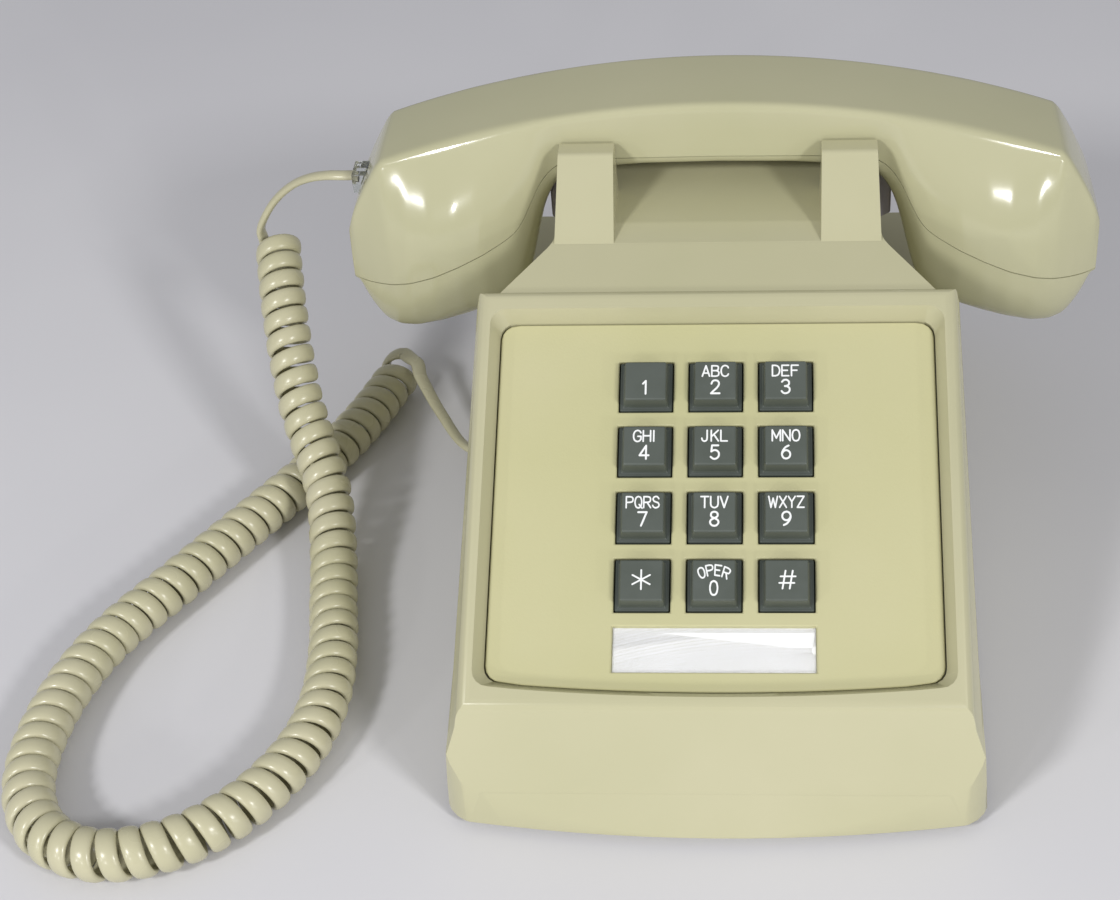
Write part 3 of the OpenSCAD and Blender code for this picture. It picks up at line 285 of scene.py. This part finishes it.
def smooth_line(points, steps):
    """A cubic curve through the points, whose direction at each is that of its two neighbours' chord."""
    p = np.asarray(points, float)
    n = len(p)
    i = np.repeat(np.arange(n - 1), steps)
    t = np.tile(np.arange(steps) / steps, n - 1)[:, None]
    a, b, c, d = p[np.maximum(i - 1, 0)], p[i], p[np.minimum(i + 1, n - 1)], p[np.minimum(i + 2, n - 1)]
    m0, m1 = (c - a) / 2, (d - b) / 2
    curve = ((2 * t**3 - 3 * t**2 + 1) * b + (t**3 - 2 * t**2 + t) * m0
             + (-2 * t**3 + 3 * t**2) * c + (t**3 - t**2) * m1)
    return np.vstack([curve, p[-1:]])


def run_of(points):
    """Distance along a line at each of its points."""
    return np.concatenate([[0], np.cumsum(np.linalg.norm(np.diff(points, axis=0), axis=1))])


def along(points, run, s):
    """Points of a line at the distances s."""
    return np.stack([np.interp(s, run, points[:, k]) for k in range(3)], axis=-1)


coil_route = smooth_line(COIL_LINE, 8)
coil_run = run_of(coil_route)
coil_length = coil_run[-1]
turn_table = np.array(TURN_PLACES + [[LAST_TURN - 1, coil_length - LAST_PITCH], [LAST_TURN, coil_length]])


def curl_frame(turns):
    """The coil's middle line, its side and its upward direction at the given numbers of turns."""
    s = np.interp(turns, turn_table[:, 0], turn_table[:, 1])
    axis = unit(along(coil_route, coil_run, np.minimum(s + 1, coil_length))
                - along(coil_route, coil_run, np.maximum(s - 1, 0)))
    side = unit(np.cross(axis, CURL_REFERENCE))
    return along(coil_route, coil_run, s), axis, side, np.cross(side, axis)


def cord_line():
    """The whole cord's centre line with its outward direction, half width and half thickness at each point.

    The curls are a circle of constant radius carried along the coil's middle line; the leads are smooth
    curves through chosen points, and the flat section turns slowly along them."""
    rings = 24
    turns = np.linspace(0, LAST_TURN, int(LAST_TURN * rings))
    middle, axis, side, top = curl_frame(turns)
    angle = -np.radians(FIRST_TURN) - 2 * np.pi * turns
    out = np.cos(angle)[:, None] * side + np.sin(angle)[:, None] * top
    curls = middle + CURL_RADIUS * out
    start_way = unit(top[0] - 0.5 * axis[0])
    end_way = unit(side[-1] - 0.6 * axis[-1] + 0.2 * top[-1])
    coil_start = curls[0] + CORD_WIDTH * start_way
    coil_end = curls[-1] + CORD_WIDTH * end_way
    first = smooth_line(np.vstack([
        [HANDSET_PLUG + [1.5, 0, 0], HANDSET_PLUG, HANDSET_PLUG - [LEAD_DIAMETER, 0, 0]],
        [[-109.2, 55.3, 88], [-114.2, 57.6, 86], [-119.3, 60.4, 82.7], [-124.2, 62.8, 78.3], [-128.6, 64.6, 73.2],
         [-132, 65.3, 68]],
        [coil_start + LEAD_DIAMETER * start_way, coil_start, curls[0]]]), 5)[:-1]
    last = smooth_line(np.vstack([
        [curls[-1], coil_end, coil_end + LEAD_DIAMETER * end_way],
        [[-92.8, 62, 12.2], [-90, 56, 11.6], [-86.8, 49.6, 11], [-83.2, 42.8, 10.8], [-79.8, 36.2, 11],
         [-76.4, 30.2, 11.7]],
        [BASE_PLUG - [LEAD_DIAMETER, 0, 0], BASE_PLUG, BASE_PLUG + [1.5, 0, 0]]]), 5)[1:]
    points = np.vstack([first, curls, last])
    pitch = np.gradient(np.interp(turns, turn_table[:, 0], turn_table[:, 1]), turns)
    width = np.clip(pitch * 0.46, 2.3, 2.55)
    ease_in = np.linspace(0, 1, len(first))[:, None] ** 2
    ease_out = np.linspace(0, 1, len(last))[:, None]
    outs = np.vstack([unit([0.1, -0.1, 1] * (1 - ease_in) + out[0] * ease_in), out,
                      unit(out[-1] * (1 - ease_out) + np.array([0.5, 0.2, 0.8]) * ease_out)])
    n0, n1 = len(first), len(last)
    halves = np.concatenate([1.75 + (width[0] - 1.75) * np.linspace(0, 1, n0) ** 6, width,
                             1.75 + (width[-1] - 1.75) * np.linspace(1, 0, n1) ** 3])
    thick = np.concatenate([1.15 + 0.1 * np.linspace(0, 1, n0), np.full(len(width), 1.25),
                            1.25 - 0.1 * np.linspace(0, 1, n1)])
    return points, outs, halves, thick


def flat_tube(name, points, outs, halves, thick, material, sides=14):
    """A closed tube whose section is a flattened oval, crowned outside and flatter inside, along the points."""
    tangent = unit(np.gradient(points, axis=0))
    up_way = unit(outs - (outs * tangent).sum(1, keepdims=True) * tangent)
    across = np.cross(tangent, up_way)
    turn_angle = 2 * np.pi * np.arange(sides) / sides
    x = np.sign(np.cos(turn_angle)) * np.abs(np.cos(turn_angle)) ** 0.8
    y = np.sin(turn_angle)
    y = np.where(y < 0, y * 0.8, y)
    grid = (points[:, None] + halves[:, None, None] * x[None, :, None] * across[:, None]
            + thick[:, None, None] * y[None, :, None] * up_way[:, None])
    n = len(points)
    faces = grid_faces(n, sides, wrap=True).tolist()
    faces += [list(range(sides))[::-1], [(n - 1) * sides + k for k in range(sides)]]
    return new_object(name, grid.reshape(-1, 3), faces, material)


cord_points, cord_outs, cord_halves, cord_thick = cord_line()
cord = flat_tube("handset_cord", cord_points, cord_outs, cord_halves, cord_thick, VINYL)
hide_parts("cord_lead_handset", "cord_coil", "cord_lead_base")
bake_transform(cord)

# ---- handset ---------------------------------------------------------------------------------
HANDLE_Z = 117.5
SEAM_DROP = [[0, 15.7], [28, 15.9], [37, 16.2], [41, 16.8], [44, 18.2], [46.5, 20.2], [48.5, 23], [50, 26],
             [52, 30.5], [54.5, 34.4], [58, 36.6], [64, 39.6], [71, 43], [78, 46.2], [85, 49], [92.5, 51.6],
             [98.5, 53.2], [103, 53.8]]
HALF_WIDTHS = [[0, 14], [41, 14.1], [44, 14.4], [46.5, 15.6], [50, 17.8], [54.5, 20.6], [58, 22.2], [64, 24.3],
               [71, 25.2], [78, 25.3], [85, 24], [90, 21.9], [95.5, 18.4], [99, 15.8], [101, 14.2], [102.4, 13],
               [103, 12.2]]
UNDERSIDE = [[0, 19.1], [20, 19.5], [34, 20.9], [40, 22.6], [43.5, 25], [46, 28.8], [48, 34], [49.5, 40],
             [51.5, 49], [54, 57], [58, 61], [66, 63.8], [78, 67.4], [86, 69.8], [91, 70.5], [95, 69.5],
             [98.5, 64.5], [101, 57.5], [102.4, 50], [103, 45]]
END_FALL = [[91, 0], [93, 2.4], [97, 9.4], [100, 15.4], [102, 20.6], [103, 24.5]]
ARCH_RADIUS = 265
HANDSET_HALF = 103
END_CORNER = 91
HANDLE_HALF = 13.8
SEAM_HALF_GAP = 0.15
SHELL_WALL = 1.6
# The capsules stand at a tilt in degrees; the middle hole has a ring of six round it.
CAPSULE_X = 74.5
CAPSULE_DROP = 63.2
CAPSULE_TILT = 17
HOLE_RING = 7
HOLE_RADIUS = 1.0
HOLE_REACH = 12


def eased(table, x, reach=1.6):
    """A table read at x and averaged over a short reach on both sides, which rounds its corners."""
    table = np.array(table, float)
    steps = np.linspace(-reach, reach, 9)
    return np.mean([np.interp(np.clip(x + s, 0, HANDSET_HALF), table[:, 0], table[:, 1]) for s in steps], axis=0)


def rounded_profile(profile, reach_mm):
    """Profiles (sections, points, 2) sampled evenly by length, then averaged over a reach, which rounds corners."""
    count = profile.shape[1]
    step = np.linalg.norm(np.diff(profile, axis=1), axis=2)
    run = np.concatenate([np.zeros((len(profile), 1)), np.cumsum(step, axis=1)], axis=1)
    even = np.linspace(0, 1, count)
    out = np.stack([np.stack([np.interp(even * r[-1], r, p[:, k]) for k in range(2)], axis=-1)
                    for r, p in zip(run, profile)])
    spacing = run[:, -1] / (count - 1)
    result = out.copy()
    half = np.minimum(np.asarray(reach_mm) / spacing, count / 3)
    for shift in np.linspace(-1, 1, 9):
        at = np.arange(count)[None, :] + shift * half[:, None]
        low = np.clip(np.floor(at).astype(int), 0, count - 1)
        high = np.clip(low + 1, 0, count - 1)
        f = np.clip(at - low, 0, 1)[..., None]
        rows = np.arange(len(out))[:, None]
        value = out[rows, low] * (1 - f) + out[rows, high] * f
        under = (at < 0)[..., None]
        over = (at > count - 1)[..., None]
        mirror_low = out[rows, np.clip(np.round(-at).astype(int), 0, count - 1)]
        value = np.where(under, 2 * out[:, :1] - mirror_low, value)
        mirror_high = out[rows, np.clip(np.round(2 * (count - 1) - at).astype(int), 0, count - 1)]
        value = np.where(over, 2 * out[:, -1:] - mirror_high, value)
        result = value / 9 if shift == -1 else result + value / 9
    result[:, 0], result[:, -1] = out[:, 0], out[:, -1]
    return result


def handset_sections(x, upper):
    """Sections of one shell at the stations x, from the seam at +Y round to the seam at -Y.

    Upper: the flank follows a quarter cosine from the seam in to the edge of the arched top, which is
    slightly crowned. Lower: a squared oval hangs below the seam down to the underside's depth."""
    a = np.abs(x)
    arch = ARCH_RADIUS - np.sqrt(ARCH_RADIUS**2 - np.minimum(a, END_CORNER) ** 2)
    top = HANDLE_Z - arch - np.where(a > END_CORNER, eased(END_FALL, a, 0.8), 0)
    seam = HANDLE_Z - eased(SEAM_DROP, a)
    middle = eased(HALF_WIDTHS, a, 1.0)
    if upper:
        u = np.linspace(0, 1, 36)[None, :]
        edge = np.minimum(HANDLE_HALF, middle - 0.2) - np.maximum(a - END_CORNER, 0) * 0.12
        start = seam + SEAM_HALF_GAP
        y = edge[:, None] + (middle - edge)[:, None] * np.cos(u * np.pi / 2)
        z = start[:, None] + (top - 0.3 - start)[:, None] * u
        v = np.linspace(0, 1, 15)[1:]
        flat_y = edge[:, None] * (1 - v)
        flat_z = (top - 0.3)[:, None] + 0.3 * np.sin(v * np.pi / 2)
        half = np.stack([np.hstack([y, flat_y]), np.hstack([z, flat_z])], axis=-1)
        reach = 1.9 - 0.8 * np.clip((a - 60) / 40, 0, 1)
        full = np.concatenate([half, half[:, -2::-1] * [-1, 1]], axis=1)
        full = rounded_profile(full, np.broadcast_to(reach, a.shape))
    else:
        low = np.minimum(HANDLE_Z - eased(UNDERSIDE, a, 1.2), seam - 2.2)
        u = np.linspace(0, 1, 40)[None, :] * np.radians(90)
        start = seam - SEAM_HALF_GAP
        y = middle[:, None] * np.cos(u).clip(0) ** 0.42
        z = start[:, None] - (start - low)[:, None] * np.sin(u) ** 0.85
        half = np.stack([y, z], axis=-1)
        full = np.concatenate([half, half[:, -2::-1] * [-1, 1]], axis=1)
        full = rounded_profile(full, np.full(a.shape, 1.2))
    return full, seam


def tube_cutter(start, end, radius, sides=20):
    """Points and faces of a closed round bar from start to end, in millimetres."""
    way = unit(end - start)
    side = unit(np.cross(way, [0, 1, 0]))
    turn_angle = 2 * np.pi * np.arange(sides) / sides
    ring = radius * (np.cos(turn_angle)[:, None] * side + np.sin(turn_angle)[:, None] * np.cross(way, side))
    faces = grid_faces(2, sides, wrap=True).tolist()
    faces += [list(range(sides))[::-1], [sides + k for k in range(sides)]]
    return np.vstack([start + ring, end + ring]), faces


def cut_away(piece, cutters):
    """Cuts closed forms out of a piece and keeps the result as the piece's own mesh."""
    points, faces = [], []
    for form_points, form_faces in cutters:
        start = len(points)
        points.extend(form_points)
        faces.extend([[start + k for k in face] for face in form_faces])
    cutter = new_object("cutter", points, faces, ABS_HANDSET)
    work = bmesh.new()
    work.from_mesh(cutter.data)
    bmesh.ops.recalc_face_normals(work, faces=work.faces)
    work.to_mesh(cutter.data)
    work.free()
    cut = piece.modifiers.new("cut", "BOOLEAN")
    cut.operation = "DIFFERENCE"
    cut.solver = "EXACT"
    cut.object = cutter
    seen = piece.evaluated_get(bpy.context.evaluated_depsgraph_get())
    mesh = bpy.data.meshes.new_from_object(seen)
    piece.modifiers.clear()
    piece.data = mesh
    bpy.data.objects.remove(cutter)
    mesh.shade_smooth()
    mesh.set_sharp_from_angle(angle=np.radians(40))


def sound_holes():
    """Bars for the seven holes in front of each capsule, one in the middle and six in a ring."""
    tilt = np.radians(CAPSULE_TILT)
    forms = []
    for side in (-1, 1):
        centre = np.array([side * CAPSULE_X, HANDSET_Y, HANDLE_Z - CAPSULE_DROP])
        across = np.array([np.cos(tilt), 0, -side * np.sin(tilt)])
        down = np.array([side * np.sin(tilt), 0, np.cos(tilt)])
        spots = [centre] + [centre + HOLE_RING * (np.cos(a) * across + np.sin(a) * np.array([0, 1.0, 0]))
                            for a in np.radians(np.arange(0, 360, 60))]
        forms += [tube_cutter(spot - HOLE_REACH * down, spot + HOLE_REACH * down, HOLE_RADIUS) for spot in spots]
    return forms


def plug_opening():
    """A box for the opening that the handset's plug enters, through the left end."""
    low = np.array([-HANDSET_HALF - 2, HANDSET_Y - 4, HANDSET_PLUG[2] - 3.5])
    high = np.array([-HANDSET_HALF + 11.6, HANDSET_Y + 4, HANDSET_PLUG[2] + 3.5])
    points = [[(low, high)[i][0], (low, high)[j][1], (low, high)[k][2]]
              for i in (0, 1) for j in (0, 1) for k in (0, 1)]
    return [(points, [[0, 1, 3, 2], [4, 6, 7, 5], [0, 4, 5, 1], [2, 3, 7, 6], [0, 2, 6, 4], [1, 5, 7, 3]])]


def handset_shell(name, node, upper):
    """One handset shell: sections swept along X, closed over both ends by rings that shrink to the seam."""
    even = np.linspace(-1, 1, 181)
    x = HANDSET_HALF * np.sin(even * np.pi / 2) * 0.35 + even * HANDSET_HALF * 0.65
    x[0], x[-1] = -HANDSET_HALF + 0.5, HANDSET_HALF - 0.5
    sections, seam = handset_sections(x, upper)
    rows = np.stack([np.broadcast_to(x[:, None], sections.shape[:2]), sections[..., 0] + HANDSET_Y,
                     sections[..., 1]], axis=-1)
    scale = np.array([0.97, 0.9, 0.75, 0.5, 0.25, 0.02])
    bulge = np.array([0.2, 0.36, 0.46, 0.5, 0.5, 0.5])

    def cap(row, side):
        centre = np.array([row[0, 0], HANDSET_Y, row[0, 2]])
        ring = centre + scale[:, None, None] * (row - centre)
        ring[..., 0] += side * bulge[:, None]
        return ring

    grid = np.concatenate([cap(rows[0], -1)[::-1], rows, cap(rows[-1], 1)])
    n, m = grid.shape[:2]
    faces = grid_faces(n, m)
    piece = new_object(name, grid.reshape(-1, 3), faces, ABS_HANDSET)
    work = bmesh.new()
    work.from_mesh(piece.data)
    bmesh.ops.remove_doubles(work, verts=work.verts, dist=2e-6)
    probe = max(work.faces, key=lambda f: f.calc_center_median().z if upper else -f.calc_center_median().z)
    if (probe.normal.z > 0) != upper:
        bmesh.ops.reverse_faces(work, faces=work.faces)
    work.to_mesh(piece.data)
    work.free()
    piece.data.shade_smooth()
    wall = piece.modifiers.new("wall", "SOLIDIFY")
    wall.thickness = SHELL_WALL * MM
    wall.offset = -1
    cut_away(piece, plug_opening() if upper else sound_holes())
    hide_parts(node)
    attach(piece, "handset")
    return piece


handset_shell("handset_outer_skin", "handset_outer_shell", True)
handset_shell("handset_inner_skin", "handset_inner_shell", False)

# ---- body and face ---------------------------------------------------------------------------
dressed("housing", ABS_GLOSS, "base", width=0.7, steps=3, angle=32)
dressed("faceplate", ABS_SATIN, "base", width=0.35, steps=2)
dressed("plunger_left", ACETAL, "plunger_left", width=0.5)
dressed("plunger_right", ACETAL, "plunger_right", width=0.5)

# ---- keys ------------------------------------------------------------------------------------
FACE_TILT = np.radians(28)
FACE_ORIGIN = np.array([0, -44, 60])
FACE_U = np.array([1.0, 0, 0])
FACE_V = np.array([0, np.cos(FACE_TILT), np.sin(FACE_TILT)])
FACE_N = np.array([0, -np.sin(FACE_TILT), np.cos(FACE_TILT)])
KEY_PITCH = 17.5
CAP_HEIGHT = 4.0
# Legends lie a hair above the cap. Crossing strokes lie in layers, so that no two faces share a plane.
LEGEND_LIFT = 0.03
LAYER_STEP = 0.0006
LAYERS = 17
RIBBON_POINTS = 14
KEYS = ["key_1", "key_2", "key_3", "key_4", "key_5", "key_6", "key_7", "key_8", "key_9",
        "key_star", "key_0", "key_pound"]
LEGENDS = [("", "1"), ("ABC", "2"), ("DEF", "3"), ("GHI", "4"), ("JKL", "5"), ("MNO", "6"), ("PQRS", "7"),
           ("TUV", "8"), ("WXYZ", "9"), ("", "*"), ("OPER", "0"), ("", "#")]
# Single-stroke letter forms on a grid 4 wide and 6 high: strokes part at /, points at spaces, ~ means curved.
ROUND = "~2,6.1 0.6,5.4 0,3 0.6,0.6 2,-0.1 3.4,0.6 4,3 3.4,5.4 2,6.1"
STROKES = {
    "A": "0,0 2,6 4,0/0.7,1.8 3.3,1.8",
    "B": "0,3.2 0,0 2.2,0/0,3.2 0,6 2,6/~2,6 3.3,5.7 3.6,4.6 3.2,3.5 2,3.2/0,3.2 2.2,3.2"
         "/~2.2,3.2 3.6,2.7 3.9,1.6 3.5,0.4 2.2,0",
    "C": "~3.9,4.8 3.3,5.7 2,6.1 0.7,5.5 0,4 0,2 0.7,0.5 2,-0.1 3.3,0.3 3.9,1.2",
    "D": "1.6,0 0,0 0,6 1.6,6/~1.6,6 3.2,5.3 4,3 3.2,0.7 1.6,0",
    "E": "3.7,6 0,6 0,0 3.7,0/0,3.1 3,3.1",
    "F": "3.7,6 0,6 0,0/0,3.1 3,3.1",
    "G": "~3.9,4.8 3.3,5.7 2,6.1 0.7,5.5 0,4 0,2 0.7,0.5 2,-0.1 3.3,0.3 4,1.3/4,1.3 4,2.8 2.3,2.8",
    "H": "0,0 0,6/4,0 4,6/0,3.1 4,3.1",
    "I": "0.5,0 0.5,6",
    "J": "3,6 3,1.8/~3,1.8 2.7,0.5 1.6,-0.1 0.5,0.4 0.1,1.6",
    "K": "0,0 0,6/3.8,6 0,2.4/1.4,3.7 3.9,0",
    "L": "0,6 0,0 3.5,0",
    "M": "0,0 0,6 2.2,1.5 4.4,6 4.4,0",
    "N": "0,0 0,6 4,0 4,6",
    "O": ROUND,
    "P": "0,0 0,6 2.2,6/~2.2,6 3.6,5.6 4,4.5 3.6,3.3 2.2,2.9/0,2.9 2.2,2.9",
    "Q": ROUND + "/2.5,1.7 4.3,-0.3",
    "R": "0,0 0,6 2.2,6/~2.2,6 3.6,5.6 4,4.5 3.6,3.3 2.2,2.9/0,2.9 2.2,2.9/2,2.9 4.1,0",
    "S": "~3.7,4.9 3,5.8 2,6.1 0.8,5.7 0.3,4.6 0.9,3.6 2,3.1 3.3,2.6 3.9,1.5 3.4,0.4 2,-0.1 0.7,0.3 0.1,1.2",
    "T": "2,0 2,6/0,6 4,6",
    "U": "0,6 0,2/~0,2 0.5,0.6 2,-0.1 3.5,0.6 4,2/4,2 4,6",
    "V": "0,6 2,0 4,6",
    "W": "0,6 1.3,0 2.6,5 3.9,0 5.2,6",
    "X": "0,0 4,6/0,6 4,0",
    "Y": "0,6 2,3.1 4,6/2,3.1 2,0",
    "Z": "0,6 4,6 0,0 4,0",
    "0": ROUND,
    "1": "0.9,4.7 2.2,6 2.2,0",
    "2": "~0.2,4.5 0.8,5.7 2,6.1 3.3,5.6 3.7,4.3 2.8,2.7 1.2,1.2 0,0/0,0 4,0",
    "3": "~0.3,5.2 1.2,6 2.4,6.1 3.5,5.3 3.4,3.9 2.4,3.3 1.6,3.2/~1.6,3.2 2.8,3 3.8,2.1 3.6,0.7 2.4,-0.1 1,0 0.1,0.9",
    "4": "3,0 3,6 0,1.6 4.2,1.6",
    "5": "3.6,6 0.7,6 0.4,3.2/~0.4,3.2 1.5,3.8 2.8,3.7 3.8,2.7 3.8,1.2 2.8,0.1 1.4,-0.1 0.1,0.8",
    "6": "~3.2,5.8 1.8,5.1 0.6,3.6 0.1,1.9 0.7,0.4 2,-0.1 3.4,0.5 3.9,1.9 3.3,3.2 2,3.7 0.8,3.2 0.2,2.2",
    "7": "0,6 3.9,6 1.4,0",
    "8": "~2,3.3 0.7,4 0.5,5.2 1.3,6 2.7,6 3.5,5.2 3.3,4 2,3.3 0.5,2.5 0.1,1.3 0.9,0.2 2,-0.1 3.1,0.2"
         " 3.9,1.3 3.5,2.5 2,3.3",
    "9": "~0.8,0.2 2.2,0.9 3.4,2.4 3.9,4.1 3.3,5.6 2,6.1 0.6,5.5 0.1,4.1 0.7,2.8 2,2.3 3.2,2.8 3.8,3.8",
    "*": "2,-0.1 2,6.1/-0.7,1.5 4.7,4.5/-0.7,4.5 4.7,1.5",
    "#": "0.6,0 1.6,6/2.9,0 3.9,6/-0.4,1.9 4.4,1.9/0,4.1 4.8,4.1"}


def stroke_ribbons(text, size, width, gap=1.5, bend=0.0):
    """Flat ribbons with round ends for a line of letters, as (along, up) points in millimetres and faces.

    Each stroke's line is offset to both sides by half the width, and ends in half circles."""
    unit_mm = size / 6
    widths = [{"I": 1, "M": 4.4, "W": 5.2}.get(c, 4) for c in text]
    total = sum(widths) + gap * (len(text) - 1)
    points, faces = [], []
    at = -total / 2
    for letter, letter_width in zip(text, widths):
        for stroke in STROKES[letter].split("/"):
            line = np.array([[float(v) for v in pair.split(",")] for pair in stroke.strip("~").split(" ")])
            if stroke.startswith("~"):
                line = smooth_line(line, 4)
            line = line + [at, -3]
            if bend:
                angle = line[:, 0] * bend
                radius = 1 / bend + line[:, 1]
                line = np.stack([radius * np.sin(angle), radius * np.cos(angle) - 1 / bend], axis=-1)
            line = line * unit_mm
            for a, b in zip(line[:-1], line[1:]):
                way = (b - a) / max(np.linalg.norm(b - a), 1e-9)
                normal = np.array([-way[1], way[0]])
                turns = np.linspace(0, np.pi, 7)[:, None]
                end = b + width / 2 * (-np.cos(turns) * -normal + np.sin(turns) * way)
                begin = a + width / 2 * (-np.cos(turns) * normal - np.sin(turns) * way)
                ring = np.vstack([begin, end])
                start = len(points)
                points.extend(ring)
                faces.append(range(start, start + len(ring)))
        at += letter_width + gap
    return np.array(points), faces


def legend(key, index):
    """A key's raised white legend: letters over a digit, lying just above the sloping cap."""
    row, column = divmod(index, 3)
    letters, digit = LEGENDS[index]
    centre = FACE_ORIGIN + (column - 1) * KEY_PITCH * FACE_U + (1.5 - row) * KEY_PITCH * FACE_V
    points, faces = [], []

    def add(text, size, width, up_mm, gap, bend=0.0, stretch=1.0):
        p, f = stroke_ribbons(text, size, width, gap, bend)
        start = len(points)
        lift = CAP_HEIGHT + LEGEND_LIFT + LAYER_STEP * (np.arange(len(p)) // RIBBON_POINTS % LAYERS)
        spots = (centre + (p[:, :1] * stretch) * FACE_U + (p[:, 1:] + up_mm) * FACE_V + lift[:, None] * FACE_N)
        points.extend(spots)
        faces.extend([[start + k for k in face] for face in f])

    if digit in "*#":
        add(digit, 4.7 if digit == "*" else 4.5, 0.42, 0.1, 1.5)
    elif letters == "OPER":
        add(letters, 2.6, 0.42, 2.55, 1.5, bend=0.05, stretch=0.85)
        add(digit, 3.4, 0.5, -2.0, 1.5, stretch=0.8)
    else:
        if letters:
            add(letters, 2.85, 0.42, 2.5, 1.25, stretch=0.86 if len(letters) == 4 else 0.95)
        add(digit, 3.5, 0.5, -1.85, 1.5, stretch=0.92)
    piece = new_object("legend_" + key[4:], points, faces, LEGEND)
    normals = np.zeros(len(piece.data.polygons) * 3)
    piece.data.polygons.foreach_get("normal", normals)
    if normals.reshape(-1, 3)[0] @ FACE_N < 0:
        piece.data.flip_normals()
    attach(piece, key)


for number, key_node in enumerate(KEYS):
    skin = dressed(key_node, KEY_CAP, key_node, width=0.45, steps=3)
    skin.data.materials.append(KEY_SKIRT_SHADE)
    centres = np.zeros(len(skin.data.polygons) * 3)
    skin.data.polygons.foreach_get("center", centres)
    height = (centres.reshape(-1, 3) / MM - FACE_ORIGIN) @ FACE_N
    # Faces within 0.2 mm of the faceplate are the skirts; they take the darker copy, which is painted shade.
    skin.data.polygons.foreach_set("material_index", (height < 0.2).astype(np.int32))
    legend(key_node, number)

# ---- materials for the pieces whose solids stay ----------------------------------------------
FINISHES = {
    CARD: ["number_card"], WINDOW: ["card_window"], CLEAR: ["handset_plug", "base_plug"], RUBBER: ["feet"],
    SILICONE: ["key_mat"], BOARD: ["keypad_board"], TAPE: ["ringer_coil"], ALUMINIUM: ["transmitter_capsule"],
    BRASS: ["gong_large", "gong_small", "network_terminals"],
    BLACK: ["keypad_frame", "hook_contacts", "network_block", "volume_wheel", "line_jack", "handset_jack",
            "handset_socket", "receiver_capsule"],
    STEEL: ["base_plate", "housing_screws", "keypad_screws", "hook_bail", "hook_shaft", "hook_bracket",
            "hook_spring", "ringer_frame", "gong_screws", "clapper", "clapper_pin", "volume_bracket"]}
for finish, nodes in FINISHES.items():
    for node in nodes:
        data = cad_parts[node].data
        data.materials.clear()
        data.materials.append(finish)

# ---- floor, light and world ------------------------------------------------------------------
FLOOR = moulded("studio_floor_pale", "#D3D2D6", "#D8D7DA", 0.85, patch_mm=220)
floor = new_object("floor", [[-4000, -4000, -0.2], [4000, -4000, -0.2], [4000, 4000, -0.2], [-4000, 4000, -0.2]],
                   [[0, 1, 2, 3]], FLOOR)


def lamp(name, place, target, size, power, colour=(1, 1, 1)):
    """A square area lamp at a place, turned towards a target, in metres and watts."""
    data = bpy.data.lights.new(name, "AREA")
    data.energy = power
    data.size = size
    data.color = colour
    light = bpy.data.objects.new(name, data)
    bpy.context.scene.collection.objects.link(light)
    back = unit(np.array(place, float) - np.array(target, float))
    side = unit(np.cross([0, 0, 1], back))
    matrix = np.eye(4)
    matrix[:3, 0], matrix[:3, 1], matrix[:3, 2], matrix[:3, 3] = side, np.cross(back, side), back, place
    light.matrix_world = Matrix(matrix.tolist())
    return light


lamp("key_lamp", (-0.75, -0.95, 0.9), (0, -0.02, 0.04), 0.2, 9)
lamp("second_lamp", (0.8, -0.95, 0.85), (0, -0.02, 0.04), 0.2, 8)
LOW_LAMPS = [(-0.6, -0.66, 0.24), (-0.34, -0.78, 0.22), (0.42, -0.78, 0.28), (0.64, -0.66, 0.2)]
for number, place in enumerate(LOW_LAMPS):
    lamp(f"low_lamp_{number}", place, (0, 0.03, 0.07), 0.03, 0.5)
world = bpy.data.worlds.new("world")
bpy.context.scene.world = world
world.use_nodes = True
world.node_tree.nodes["Background"].inputs["Color"].default_value = linear("#F1F2F6")
world.node_tree.nodes["Background"].inputs["Strength"].default_value = 0.42
bpy.context.scene.view_settings.view_transform = "Standard"
